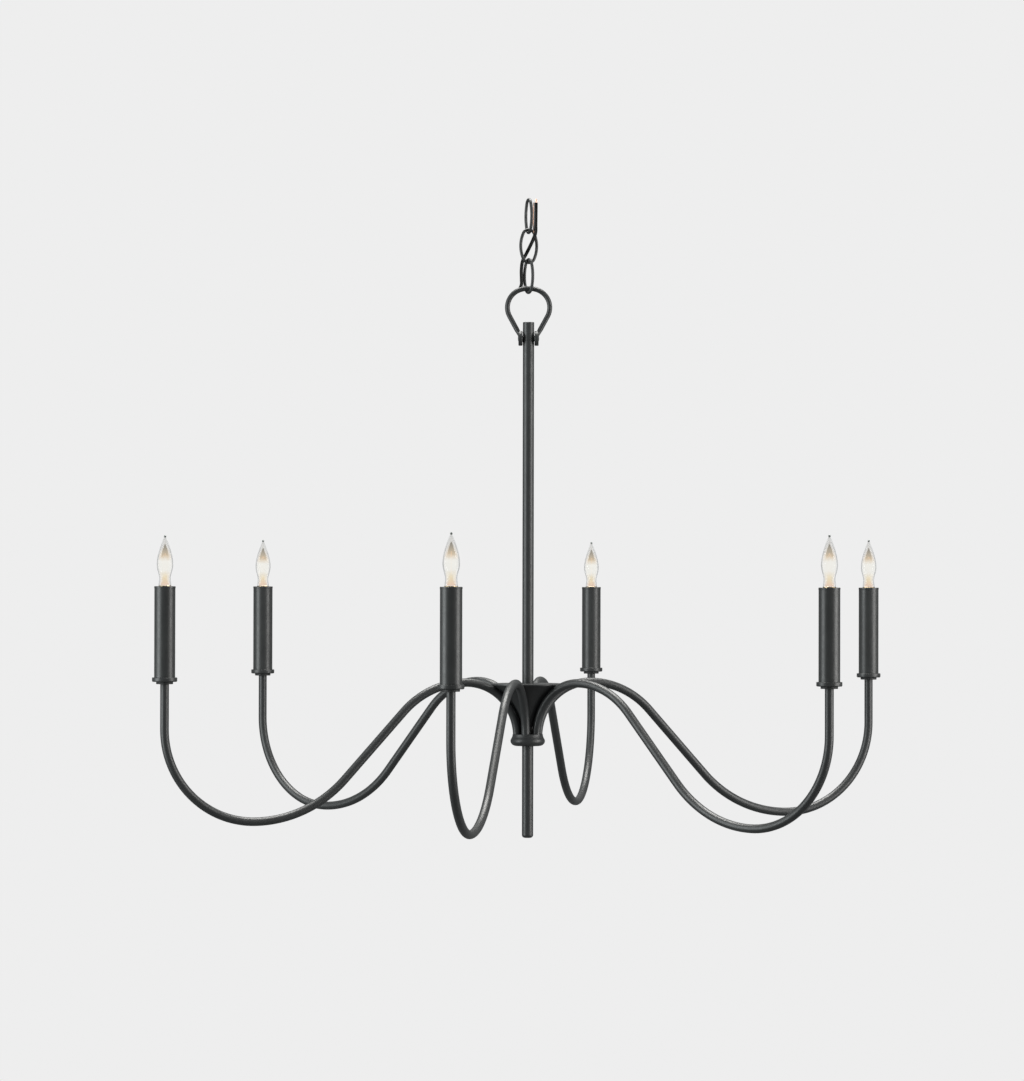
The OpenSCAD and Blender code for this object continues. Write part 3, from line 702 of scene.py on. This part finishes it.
class CHANDELIER_OT_stem(bpy.types.Operator):
    """Turns the stem tube, drilled for its pin and its cord, and the tail rod"""

    bl_idname = "chandelier.stem"
    bl_label = "Stem and Tail"

    def execute(self, context):
        sizes = context.scene.chandelier_sizes
        bore = STEM_R - sizes.stem_wall
        top, bottom = high("stem_tube").z, low("stem_tube").z
        outline = [(bore, bottom), (STEM_R, bottom), (STEM_R, top - 0.5 * MM)]
        outline += arc((STEM_R - 0.5 * MM, top - 0.5 * MM), 0.5 * MM, 0, 90, 4)[1:] + [(bore, top)]
        bushing = middle("cord_bushing")
        entry_r = radius_of("cord_bushing") - 1.4 * MM
        pin_hole = place(drill_bit(sizes.pin / 2 + 0.06 * MM, -0.02, 0.02, "X"), move=(0, 0, PIN_Z))
        cord_hole = place(drill_bit(entry_r, 0, 0.02, "Y"), move=(0, 0, bushing.z))
        bm = cut(spun(outline, steps=64), pin_hole, cord_hole)
        black_piece("stem", bm, "stem_tube", sharp=32)
        self.tail()
        return {"FINISHED"}

    def tail(self):
        bottom = low("tail_rod").z
        nose = 3.4 * MM
        outline = [(0, bottom)] + arc((STEM_R - nose, bottom + nose), nose, -90, 0, 10)
        outline += [(STEM_R, HUB_BASE), (0, HUB_BASE)]
        bm = spun(outline, steps=64, closed=False)
        black_piece("tail", bm, "tail_rod")


class CHANDELIER_OT_hub(bpy.types.Operator):
    """Turns the hub's plate, its trumpet and the collar that holds the arms"""

    bl_idname = "chandelier.hub"
    bl_label = "Hub"

    def execute(self, context):
        sizes = context.scene.chandelier_sizes
        self.plate()
        self.trumpet(sizes)
        self.collar(sizes)
        return {"FINISHED"}

    def plate(self):
        rim = high("hub_plate").x
        bottom = low("hub_plate").z
        hole = STEM_R + 0.05 * MM
        outline = [(hole, bottom), (rim, bottom), (rim, PLATE_TOP), (hole, PLATE_TOP)]
        bm = spun(outline, steps=96, bevel=0.45 * MM)
        black_piece("plate", bm, "hub_plate")

    def trumpet(self, sizes):
        """Thin sheet that follows the inside of the arms' root bends."""
        tube_r = sizes.tube / 2
        root_x = STEM_R + sizes.root_gap + tube_r
        root_z = high("arm_1").z - tube_r - sizes.root_bend
        centre_x = root_x + sizes.root_bend
        inner, outer = sizes.root_bend + tube_r + 0.3 * MM, sizes.root_bend + tube_r + 1.5 * MM
        top, bottom = high("hub_funnel").z, low("hub_funnel").z
        steps = 18

        def face(radius):
            heights = [bottom + (top - bottom) * n / steps for n in range(steps + 1)]
            return [(centre_x - math.sqrt(radius**2 - (z - root_z) ** 2), z) for z in heights]

        bm = spun(face(inner) + face(outer)[::-1], steps=96)
        # The trumpet takes the darker copy of the paint, as painted shade.
        black_piece("trumpet", bm, "hub_funnel", "shade")

    def collar(self, sizes):
        """A turned collar with a rounded foot and a slimmer neck."""
        rim = radius_of("hub_collar")
        neck = rim - 2.2 * MM
        belly, half = 6.2 * MM, 5.5 * MM
        outline = [(0, HUB_BASE), (rim - belly, HUB_BASE)]
        for n in range(1, 15):
            angle = math.radians(-90 + 128 * n / 14)
            outline.append((rim - belly * (1 - math.cos(angle)), HUB_BASE + half * (1 + math.sin(angle))))
        outline += [(neck + 0.12 * MM, COLLAR_TOP - 2.6 * MM), (neck - 0.1 * MM, COLLAR_TOP - 1.2 * MM)]
        outline += arc((neck - 0.9 * MM, COLLAR_TOP - 0.8 * MM), 0.8 * MM, 0, 90, 4)
        outline += [(0, COLLAR_TOP)]
        bm = spun(outline, steps=96, closed=False)
        black_piece("collar", bm, "hub_collar")


# Arms and candles


def arm_heading(number):
    centre = middle(f"sleeve_{number}")
    return math.atan2(centre.y, centre.x)


def at_candle(bm, number):
    """Moves a shape made round the Z axis to a candle."""
    centre = middle(f"sleeve_{number}")
    heading = arm_heading(number)
    return place(bm, turn=heading, move=(centre.x, centre.y, 0))


class CHANDELIER_OT_arms(bpy.types.Operator):
    """Bends each arm from one tube: root, crest, slant, bow and tip"""

    bl_idname = "chandelier.arms"
    bl_label = "Arms"

    def execute(self, context):
        sizes = context.scene.chandelier_sizes
        for number in ARMS:
            node = f"arm_{number}"
            bm = place(self.tube(sizes, number), turn=arm_heading(number))
            black_piece(f"bent_arm_{number}", bm, node)
        return {"FINISHED"}

    def tube(self, sizes, number):
        r = sizes.tube / 2
        centre = middle(f"sleeve_{number}")
        reach = math.hypot(centre.x, centre.y)
        root_x = STEM_R + sizes.root_gap + r
        crest_x, crest_z = root_x + sizes.root_bend, high(f"arm_{number}").z - r
        low_x, low_z = reach - sizes.bow_bend, low(f"arm_{number}").z + r
        bends = sizes.shoulder_bend + sizes.belly_bend
        across, down = low_x - crest_x, bends - (crest_z - low_z)
        slant_run = math.sqrt(across**2 + down**2 - bends**2)
        slant = math.degrees(math.atan2(across, down) - math.atan2(slant_run, bends))
        root_end = crest_z - sizes.root_bend - 0.6 * MM
        arm = Bender((root_x, root_end), 90, r, sides=24)
        arm.straight(0.6 * MM).bend(sizes.root_bend, -90, 28).bend(sizes.shoulder_bend, -slant, 24)
        arm.straight(slant_run).bend(sizes.belly_bend, slant, 28).bend(sizes.bow_bend, 90, 36)
        arm.straight(TIP_Z - arm.at.z)
        return arm.tube(sizes.tube_wall)


class CHANDELIER_OT_candles(bpy.types.Operator):
    """Turns the seat rings, cups and sleeves"""

    bl_idname = "chandelier.candles"
    bl_label = "Candle Cups and Sleeves"

    def execute(self, context):
        sizes = context.scene.chandelier_sizes
        self.seat_rings(sizes)
        for number in ARMS:
            self.cup(sizes, number)
            self.sleeve(sizes, number)
        return {"FINISHED"}

    def seat_rings(self, sizes):
        r = 9.2 * MM
        bore = sizes.tube / 2 - sizes.tube_wall
        bottom, top = low("seat_rings").z, high("seat_rings").z
        rings = bmesh.new()
        for number in ARMS:
            ring = spun([(bore, bottom), (r, bottom), (r, top), (bore, top)], steps=56, bevel=0.4 * MM)
            join(rings, at_candle(ring, number))
        # The rings under the cups take the darker copy of the paint, as painted shade.
        black_piece("rings_under_cups", rings, "seat_rings", "shade")

    def cup(self, sizes, number):
        node = f"cup_{number}"
        r = radius_of(node)
        bottom, top = low(node).z, high(node).z
        bore = sizes.tube / 2 - sizes.tube_wall
        inside = r - 2 * MM
        floor = low(f"sleeve_{number}").z - 0.1 * MM
        bead = 0.55 * MM
        outline = [(bore, bottom)] + arc((r - 1.2 * MM, bottom + 1.2 * MM), 1.2 * MM, -90, 0, 6)
        outline += arc((r - bead, top - bead), bead, 0, 90, 5)
        outline += arc((inside + bead * 0.6, top - bead * 0.6), bead * 0.6, 90, 180, 4)
        outline += [(inside, floor), (bore, floor)]
        bm = at_candle(spun(outline, steps=72), number)
        black_piece(f"candle_cup_{number}", bm, node)

    def sleeve(self, sizes, number):
        """A plain tube with a rolled bead at its top edge."""
        node = f"sleeve_{number}"
        bead_r = radius_of(node)
        r = bead_r - 0.2 * MM
        inside = r - sizes.sleeve_wall
        bottom, top = low(node).z, high(node).z
        roll = (bead_r - inside) / 2
        outline = [(inside, bottom), (r - 0.25 * MM, bottom), (r, bottom + 0.25 * MM)]
        outline += [(r, top - 2.8 * MM), (r + 0.02 * MM, top - 2.4 * MM), (bead_r, top - 1.9 * MM)]
        outline += arc((inside + roll, top - roll), roll, 0, 180, 10)
        outline += [(inside, top - 2 * MM)]
        bm = at_candle(spun(outline, steps=72), number)
        piece(f"candle_sleeve_{number}", bm, "sleeve", node, [node], "sleeve_black")


# Bulbs


def bezier(a, b, c, d, steps):
    """Points on a cubic curve between a and d, without d."""
    points = []
    for n in range(steps):
        t = n / steps
        weights = ((1 - t) ** 3, 3 * (1 - t) ** 2 * t, 3 * (1 - t) * t * t, t**3)
        points.append(tuple(sum(w * p[k] for w, p in zip(weights, (a, b, c, d))) for k in (0, 1)))
    return points


def flame(inset):
    """Half outline of the flame-shaped glass, from its foot up to its drawn tip."""
    tall = GLASS_TIP - 2.15 * MM - GLASS_FOOT
    rise = tall / 10
    foot = (6.85 * MM - inset, GLASS_FOOT)
    neck = (6.15 * MM - inset, GLASS_FOOT + 0.145 * tall)
    wide = (8.9 * MM - inset, GLASS_FOOT + 0.43 * tall)
    tip = (max(1.1 * MM - inset, 0.3 * MM), GLASS_FOOT + tall - 1.6 * inset)
    return (
        bezier(foot, (foot[0], foot[1] + 0.5 * rise), (neck[0], neck[1] - 0.5 * rise), neck, 6)
        + bezier(neck, (neck[0], neck[1] + 0.8 * rise), (wide[0], wide[1] - 1.1 * rise), wide, 10)
        + bezier(wide, (wide[0], wide[1] + 1.9 * rise), (tip[0] + 3.8 * MM, tip[1] - 1.9 * rise), tip, 22)
        + [tip]
    )


def wire(points, radius, sides=8):
    """A thin round wire through points, as a mesh."""
    curve = bpy.data.curves.new("wire", "CURVE")
    curve.dimensions = "3D"
    curve.bevel_depth = radius
    curve.bevel_resolution = max(sides // 4 - 1, 0)
    curve.use_fill_caps = True
    spline = curve.splines.new("POLY")
    spline.points.add(len(points) - 1)
    for point, co in zip(spline.points, points):
        point.co = (*co, 1)
    holder = bpy.data.objects.new("wire", curve)
    bpy.context.scene.collection.objects.link(holder)
    bm = bmesh.new()
    evaluated = holder.evaluated_get(bpy.context.evaluated_depsgraph_get())
    bm.from_mesh(evaluated.to_mesh())
    bpy.data.objects.remove(holder)
    bpy.data.curves.remove(curve)
    bmesh.ops.remove_doubles(bm, verts=bm.verts, dist=1e-7)
    bmesh.ops.recalc_face_normals(bm, faces=bm.faces)
    return bm


class CHANDELIER_OT_bulbs(bpy.types.Operator):
    """Blows the flame bulbs: glass, screw cap, mount, filament and glow"""

    bl_idname = "chandelier.bulbs"
    bl_label = "Bulbs"

    def execute(self, context):
        sizes = context.scene.chandelier_sizes
        for number in ARMS:
            body = f"bulb_{number}"
            for name, bm, finish, replaces, slot in (
                ("flame_glass", self.glass(sizes), "glass", [f"bulb_glass_{number}"], "clear_glass"),
                ("glass_tip", self.tip(), "tip", [], "clear_glass"),
                ("screw_cap", self.cap(), "brass", [f"bulb_cap_{number}"], "brass"),
                ("glass_mount", self.mount(), "mount", [], "clear_glass"),
                ("filament", self.filament(), "filament", [], "clear_glass"),
                ("glow", self.glow(), "halo", [], "clear_glass"),
            ):
                piece(f"{name}_{number}", at_candle(bm, number), finish, body, replaces, slot)
        return {"FINISHED"}

    def glass(self, sizes):
        return spun(flame(0) + flame(sizes.glass_wall)[::-1], steps=72)

    def tip(self):
        r = 1.3 * MM
        centre = GLASS_TIP - r
        return spun(arc((0, centre), r, -90, 90, 12), steps=24, closed=False)

    def cap(self):
        """A screw cap with a rolled thread, a rim for the glass, and a soldered contact."""
        top, bottom = GLASS_FOOT, low("bulb_cap_1").z
        rim, thread, root, contact = 7.0 * MM, 5.85 * MM, 5.35 * MM, 2.2 * MM
        rim_base = top - 1.6 * MM
        outline = [(0, bottom)] + arc((contact - 0.5 * MM, bottom + 0.5 * MM), 0.5 * MM, -90, 0, 4)
        outline += [(contact, bottom + 1.4 * MM), (root - 0.6 * MM, bottom + 3.6 * MM)]
        turns = 6
        pitch = (rim_base - bottom - 5.4 * MM) / turns
        start = bottom + 4.2 * MM
        for n in range(turns * 6 + 1):
            crest = 0.5 - 0.5 * math.cos(n * math.pi / 3)
            outline.append((root + (thread - root) * crest, start + n * pitch / 6))
        outline += [(root, rim_base), (rim - 0.3 * MM, rim_base), (rim, rim_base + 0.3 * MM)]
        outline += [(rim, top - 0.3 * MM), (rim - 0.3 * MM, top), (0, top)]
        return spun(outline, steps=48, closed=False)

    def mount(self):
        """The pressed glass stem that carries the filament's wires."""
        widths = ((0, 0.2), (4.6, 0.2), (4.2, 1.5), (2.3, 4), (1.7, 8), (1.9, 11), (1.2, 12.6), (0, 13))
        outline = [(r * MM, GLASS_FOOT + up * MM) for r, up in widths]
        bm = spun(outline, steps=32, closed=False)
        flat = [v for v in bm.verts if v.co.z > GLASS_FOOT + 7 * MM]
        bmesh.ops.scale(bm, vec=(1.3, 0.5, 1), verts=flat)
        return bm

    def filament(self):
        """Two lead wires, a middle hook and the fine coil slung between them."""
        z = GLASS_FOOT + 12 * MM
        bm = bmesh.new()
        reach = 3.1 * MM
        top = GLASS_FOOT + 29 * MM
        for side in (-1, 1):
            lead = [(side * 1.2 * MM, 0, z), (side * 1.6 * MM, 0, z + 5 * MM), (side * reach, 0, top - 2 * MM)]
            lead.append((side * reach * 1.05, 0, top))
            join(bm, wire(lead, 0.17 * MM))
        hook = [(0, 0, z), (0, 0.3 * MM, z + 10 * MM), (0, 0, GLASS_FOOT + 35 * MM)]
        join(bm, wire(hook, 0.13 * MM))
        coil = []
        turns, steps = 26, 10
        for n in range(turns * steps + 1):
            t = n / (turns * steps)
            along = 2 * t - 1
            peak = top + 6 * MM * (1 - abs(along)) ** 0.8
            turn = 2 * math.pi * turns * t
            swing = 0.34 * MM
            coil.append((along * reach, swing * math.cos(turn), peak + swing * math.sin(turn)))
        join(bm, wire(coil, 0.1 * MM, sides=4))
        return bm

    def glow(self):
        """Nested shells of painted glow within the glass: dense in the middle, soft at the edge."""
        bm = bmesh.new()
        for inset in (1.5, 3.2, 4.7):
            outline = flame(inset * MM)
            closed = [(0, outline[0][1] + 0.5 * MM)] + outline[1:] + [(0, outline[-1][1])]
            join(bm, spun(closed, steps=32, closed=False))
        return bm


# Wiring


def beside_chain(turn, u, v, z):
    """A point beside the chain: u runs along the middle link's plane, v square to it."""
    return Vector((u * math.cos(turn) - v * math.sin(turn), u * math.sin(turn) + v * math.cos(turn), z)) * MM


def cord_route(turn):
    """The cord's way down: along the chain, behind the bail's left leg and into the back of the stem."""
    links = [
        (7, -4.7, -1.95), (6.7, -5.1, -13.95), (6, -6.5, -26.95), (5.3, -7.8, -35.95), (3.3, -4.9, -43.95),
        (1.2, -1, -50.95), (-1.7, 3.3, -59.05), (-4.7, 7.2, -67.05), (-5.8, 8, -77.05), (-5.8, 7.7, -87.05),
        (-5.9, 8.1, -94.35),
    ]
    bail = [
        (-11.96, 5.4, -100.8), (-15.68, 5.4, -103.13), (-19.74, 5.4, -107.33), (-23.29, 5.4, -115.31),
        (-23.29, 5.4, -124.04), (-18.97, 5.54, -133.82), (-15.61, 6.3, -140), (-12.26, 7.7, -146.18),
        (-8.4, 11.2, -153.01), (-4, 13.4, -159.01), (-0.9, 13.4, -164.81), (0, 11.4, -169.11),
        (0, 8.5, -170.61), (0, 6.5, -170.91), (0, 4.4, -170.91), (0, 3.1, -171.81), (0, 1.8, -173.61),
        (0, 0.8, -176.51), (0, 0.2, -180.91), (0, 0, -188.91), (0, 0, -240), (0, 0, -320), (0, 0, -400),
        (0, 0, -480),
    ]
    end = Vector((0, 0, low("supply_cord").z))
    return [beside_chain(turn, *p) for p in links] + [Vector(p) * MM for p in bail] + [end]


def smooth_way(points, spacing):
    """Even steps along a smooth curve through the points, as a list of places."""
    fine = []
    for n in range(len(points) - 1):
        a, b = points[max(n - 1, 0)], points[n]
        c, d = points[n + 1], points[min(n + 2, len(points) - 1)]
        steps = max(int((c - b).length / (0.25 * MM)), 1)
        square, cube = 2 * a - 5 * b + 4 * c - d, 3 * b - a - 3 * c + d
        for k in range(steps):
            t = k / steps
            fine.append(0.5 * (2 * b + (c - a) * t + square * t * t + cube * t**3))
    fine.append(points[-1])
    way, walked = [fine[0]], 0.0
    for before, after in zip(fine, fine[1:]):
        walked += (after - before).length
        if walked >= spacing:
            way.append(after)
            walked = 0.0
    return way + [fine[-1]]


def frames_along(way):
    """A sideways direction at each place, carried along the curve without twisting."""
    side = Vector((-1, 0, 0))
    frames = []
    for n, place_ in enumerate(way):
        ahead = (way[min(n + 1, len(way) - 1)] - way[max(n - 1, 0)]).normalized()
        side = (side - side.dot(ahead) * ahead).normalized()
        frames.append((ahead, side.copy()))
    return frames


class CHANDELIER_OT_wiring(bpy.types.Operator):
    """Runs the supply cord, lays the bare ground wire beside it, and seats the bushing"""

    bl_idname = "chandelier.wiring"
    bl_label = "Cord and Ground Wire"

    def execute(self, context):
        sizes = context.scene.chandelier_sizes
        way = smooth_way(cord_route(sizes.chain_turn), 1.3 * MM)
        frames = frames_along(way)
        cuts = self.cuts(way)
        for number, (start, end, bodies) in enumerate(cuts, 1):
            self.twin(sizes, way, frames, start, end, number, bodies)
            self.ground(sizes, way, frames, start, end, number, bodies)
        self.leads(sizes, way, frames)
        self.bushing()
        return {"FINISHED"}

    def cuts(self, way):
        """Four lengths, one across each joint: (first place, last place, the bodies and points at that joint).
        """

        def place_at(z):
            return next(n for n, p in enumerate(way) if p.z < z * MM)

        seams = [0, place_at(-50.5), place_at(-84.4), place_at(-126), len(way) - 1]
        bends = [
            ("top_link", "middle_link", (0, 0, -0.022), (0, 0, -0.049)),
            ("middle_link", "bottom_link", (0, 0, -0.056), (0, 0, -0.082)),
            ("bottom_link", "bail", (0, 0, -0.088), (0, 0, -0.118)),
            ("bail", "fixture", (-0.0115, 0.0085, -0.147), (-0.0005, 0.0125, -0.167)),
        ]
        return [(a, b, bend) for a, b, bend in zip(seams, seams[1:], bends)]

    def twin(self, sizes, way, frames, start, end, number, bodies):
        """A length of the cord: two strands side by side in one jacket, turning slowly as it goes."""
        r = sizes.strand / 2
        half = [(x + r * 0.92, y) for x, y in arc((0, 0), r, -156, 156, 12)]
        profile = half + [(-x, -y) for x, y in half]
        walked = sum((after - before).length for before, after in zip(way[:start], way[1:start + 1]))
        bm = bmesh.new()
        before = self.standing(way, frames, start, walked, sizes.twist)
        points = [bm.verts.new(before @ Vector((x, y, 0))) for x, y in profile]
        ring = [bm.edges.new(pair) for pair in zip(points, points[1:] + points[:1])]
        first = list(ring)
        for n in range(start + 1, end + 1):
            walked += (way[n] - way[n - 1]).length
            here = self.standing(way, frames, n, walked, sizes.twist)
            grown = bmesh.ops.extrude_edge_only(bm, edges=ring)["geom"]
            verts = {v for v in grown if isinstance(v, bmesh.types.BMVert)}
            bmesh.ops.transform(bm, matrix=here @ before.inverted(), verts=list(verts))
            ring = [e for e in grown if isinstance(e, bmesh.types.BMEdge) and set(e.verts) <= verts]
            before = here
        bmesh.ops.holes_fill(bm, edges=first + ring, sides=0)
        bmesh.ops.recalc_face_normals(bm, faces=bm.faces)
        piece(f"twin_cord_{number}", bm, "cord", bodies, ["supply_cord"], "cord_jacket")

    def standing(self, way, frames, n, walked, twist):
        """Where the cord's profile stands at one place, and how it's turned."""
        ahead, side = frames[n]
        turn = 2 * math.pi * walked / twist - 0.4
        out = side * math.cos(turn) + ahead.cross(side) * math.sin(turn)
        return Matrix.Translation(way[n]) @ Matrix((out, ahead.cross(out), ahead)).transposed().to_4x4()

    def leads(self, sizes, way, frames):
        """The stripped copper ends of the two strands."""
        top = self.standing(way, frames, 0, 0, sizes.twist)
        for number, side in enumerate((-1, 1), 1):
            foot = top @ Vector((side * sizes.strand * 0.46, 0, 0.5 * MM))
            tip = foot + Vector((side * 0.3 * MM, 0, 4.6 * MM))
            lead = wire([foot, (foot + tip) / 2, tip], sizes.strand * 0.24)
            piece(f"stripped_lead_{number}", lead, "copper", "top_link", (), "bare_copper")

    def ground(self, sizes, way, frames, start, end, number, bodies):
        beside = 2.1 * MM + sizes.ground / 2
        points = []
        for n in range(start, end + 1):
            ahead, _ = frames[n]
            down = way[n].z / MM
            turn = min(max((-27 - down) / 17, 0), 1)
            across = Vector((turn, 1 - turn, 0))
            points.append(way[n] + beside * across.cross(ahead).normalized())
        bm = wire(points, sizes.ground / 2)
        piece(f"bare_wire_{number}", bm, "copper", bodies, ["ground_wire"], "bare_copper")

    def bushing(self):
        """A soft flanged ring in the hole where the cord goes in."""
        box_low, box_high = low("cord_bushing"), high("cord_bushing")
        flange = radius_of("cord_bushing")
        outer, bore = flange - 1.4 * MM, flange - 2.2 * MM
        back, front = box_low.y, box_high.y
        lip = STEM_R
        outline = [(bore, back), (outer, back), (outer, lip), (flange, lip)]
        outline += arc((flange - 0.9 * MM, front - 0.9 * MM), 0.9 * MM, 0, 90, 5)
        outline += arc((bore + 0.5 * MM, front - 0.5 * MM), 0.5 * MM, 90, 180, 4)
        bm = spun(outline, steps=40)
        place(bm, turn=-math.pi / 2, axis="X", move=(0, 0, middle("cord_bushing").z))
        piece("bushing", bm, "rubber", "fixture", ["cord_bushing"], "bushing_rubber")


# Pieces that keep the frame's own shape


class CHANDELIER_OT_inner_parts(bpy.types.Operator):
    """Gives the sockets, nuts, tubes and wires inside the fixture their finishes"""

    bl_idname = "chandelier.inner_parts"
    bl_label = "Inner Parts"

    def execute(self, context):
        finishes = {
            "hub_nut": "zinc", "cup_nuts": "zinc", "candle_tubes": "zinc", "socket_shells": "brass",
            "socket_contacts": "brass", "arm_wires": "insulation", "junction_block": "porcelain",
        }
        finishes.update({f"socket_{number}": "phenolic" for number in ARMS})
        for node, finish in finishes.items():
            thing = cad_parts[node]
            for slot in thing.material_slots:
                slot.material = FINISHES[finish]
        return {"FINISHED"}


# Stage


class CHANDELIER_OT_stage(bpy.types.Operator):
    """Sets the pale floor, the surroundings, the soft lights and the camera"""

    bl_idname = "chandelier.stage"
    bl_label = "Stage"

    def execute(self, context):
        scene = context.scene
        shade = scene.chandelier_colours.background
        scene.view_settings.view_transform = "Standard"
        self.surroundings(scene, shade)
        self.floor(shade)
        self.lights()
        self.camera(scene)
        return {"FINISHED"}

    def surroundings(self, scene, shade):
        """An even pale room to look at, which lights the object only softly."""
        world = bpy.data.worlds.new("pale_room")
        scene.world = world
        world.use_nodes = True
        nodes, links = world.node_tree.nodes, world.node_tree.links
        seen = nodes["Background"]
        seen.inputs["Color"].default_value = (*shade, 1)
        fill = nodes.new("ShaderNodeBackground")
        fill.inputs["Color"].default_value = (0.84, 0.865, 0.865, 1)
        fill.inputs["Strength"].default_value = 0.25
        path = nodes.new("ShaderNodeLightPath")
        through = nodes.new("ShaderNodeMath")
        through.operation = "MAXIMUM"
        mix = nodes.new("ShaderNodeMixShader")
        links.new(path.outputs["Is Camera Ray"], through.inputs[0])
        links.new(path.outputs["Is Transmission Ray"], through.inputs[1])
        links.new(through.outputs["Value"], mix.inputs["Fac"])
        links.new(fill.outputs["Background"], mix.inputs[1])
        links.new(seen.outputs["Background"], mix.inputs[2])
        links.new(mix.outputs["Shader"], nodes["World Output"].inputs["Surface"])

    def floor(self, shade):
        """A wide pale floor, well under the lowest point, as bright as the room behind it."""
        bm = bmesh.new()
        bmesh.ops.create_circle(bm, cap_ends=True, segments=96, radius=60)
        bmesh.ops.translate(bm, verts=bm.verts, vec=(0, 0, -1.35))
        mesh = bpy.data.meshes.new("floor")
        bm.to_mesh(mesh)
        bm.free()
        finish = Finish("floor_paint", base_color=(0, 0, 0), roughness=1.0, specular_ior_level=0.0)
        cloud = finish.spread(finish.noise(0.4, detail=2), 0, 1)
        finish.set("emission_color", finish.blend(cloud, scaled(shade, 0.999), shade))
        finish.set("emission_strength", 1.0)
        mesh.materials.append(finish.material)
        thing = bpy.data.objects.new("floor", mesh)
        thing.visible_glossy = False
        thing.visible_diffuse = False
        bpy.context.scene.collection.objects.link(thing)

    def lights(self):
        """Two tall soft boxes at the sides and one overhead."""
        for name, spot, size, power, shade in (
            ("left_box", (-2.3, -1.0, -0.2), (1.3, 2.6), 68, (0.95, 1.0, 1.0)),
            ("right_box", (2.3, -0.8, -0.2), (1.3, 2.6), 66, (1.0, 0.99, 0.97)),
            ("top_box", (0.0, 0.4, 1.8), (1.8, 1.4), 125, (1.0, 0.99, 0.96)),
        ):
            light = bpy.data.lights.new(name, "AREA")
            light.shape = "RECTANGLE"
            light.size, light.size_y = size
            light.energy = power
            light.color = shade
            thing = bpy.data.objects.new(name, light)
            thing.location = spot
            aim = Vector((0, 0, -0.43)) - thing.location
            thing.rotation_euler = aim.to_track_quat("-Z", "Y").to_euler()
            thing.visible_camera = False
            bpy.context.scene.collection.objects.link(thing)

    def camera(self, scene):
        """A long lens, level with the sleeves' tops."""
        away, pitch, yaw, roll = 4.265, 0.70, 0.243, 0.12
        lens = bpy.data.cameras.new("camera")
        lens.sensor_fit = "AUTO"
        lens.sensor_width = 36
        lens.lens = 126.5
        lens.clip_end = 200
        thing = bpy.data.objects.new("camera", lens)
        thing.location = (0, -away, SLEEVE_TOP)
        aim = Euler((math.radians(90 + pitch), 0, math.radians(yaw))).to_matrix()
        thing.rotation_euler = (aim @ Matrix.Rotation(math.radians(roll), 3, "Z")).to_euler()
        scene.collection.objects.link(thing)
        scene.camera = thing


# Sidebar and registration


class CHANDELIER_PT_panel(bpy.types.Panel):
    """Lists the pieces of the chandelier and their sizes"""

    bl_label = "Candle Chandelier"
    bl_space_type = "VIEW_3D"
    bl_region_type = "UI"
    bl_category = "Chandelier"

    def draw(self, context):
        column = self.layout.column(align=True)
        for operator in OPERATORS:
            column.operator(operator.bl_idname)
        for group in (context.scene.chandelier_sizes, context.scene.chandelier_colours):
            box = self.layout.box()
            for name in group.__annotations__:
                box.prop(group, name)


OPERATORS = (
    CHANDELIER_OT_stage,
    CHANDELIER_OT_chain,
    CHANDELIER_OT_bail,
    CHANDELIER_OT_stem,
    CHANDELIER_OT_hub,
    CHANDELIER_OT_arms,
    CHANDELIER_OT_candles,
    CHANDELIER_OT_bulbs,
    CHANDELIER_OT_wiring,
    CHANDELIER_OT_inner_parts,
)
CLASSES = (ChandelierSizes, ChandelierColours, *OPERATORS, CHANDELIER_PT_panel)


def register():
    for cls in CLASSES:
        bpy.utils.register_class(cls)
    bpy.types.Scene.chandelier_sizes = PointerProperty(type=ChandelierSizes)
    bpy.types.Scene.chandelier_colours = PointerProperty(type=ChandelierColours)


def unregister():
    del bpy.types.Scene.chandelier_colours
    del bpy.types.Scene.chandelier_sizes
    for cls in reversed(CLASSES):
        bpy.utils.unregister_class(cls)


def main():
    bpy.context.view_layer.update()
    register()
    bpy.ops.chandelier.stage()
    bpy.ops.chandelier.chain()
    bpy.ops.chandelier.bail()
    bpy.ops.chandelier.stem()
    bpy.ops.chandelier.hub()
    bpy.ops.chandelier.arms()
    bpy.ops.chandelier.candles()
    bpy.ops.chandelier.bulbs()
    bpy.ops.chandelier.wiring()
    bpy.ops.chandelier.inner_parts()


if __name__ == "__main__":
    main()
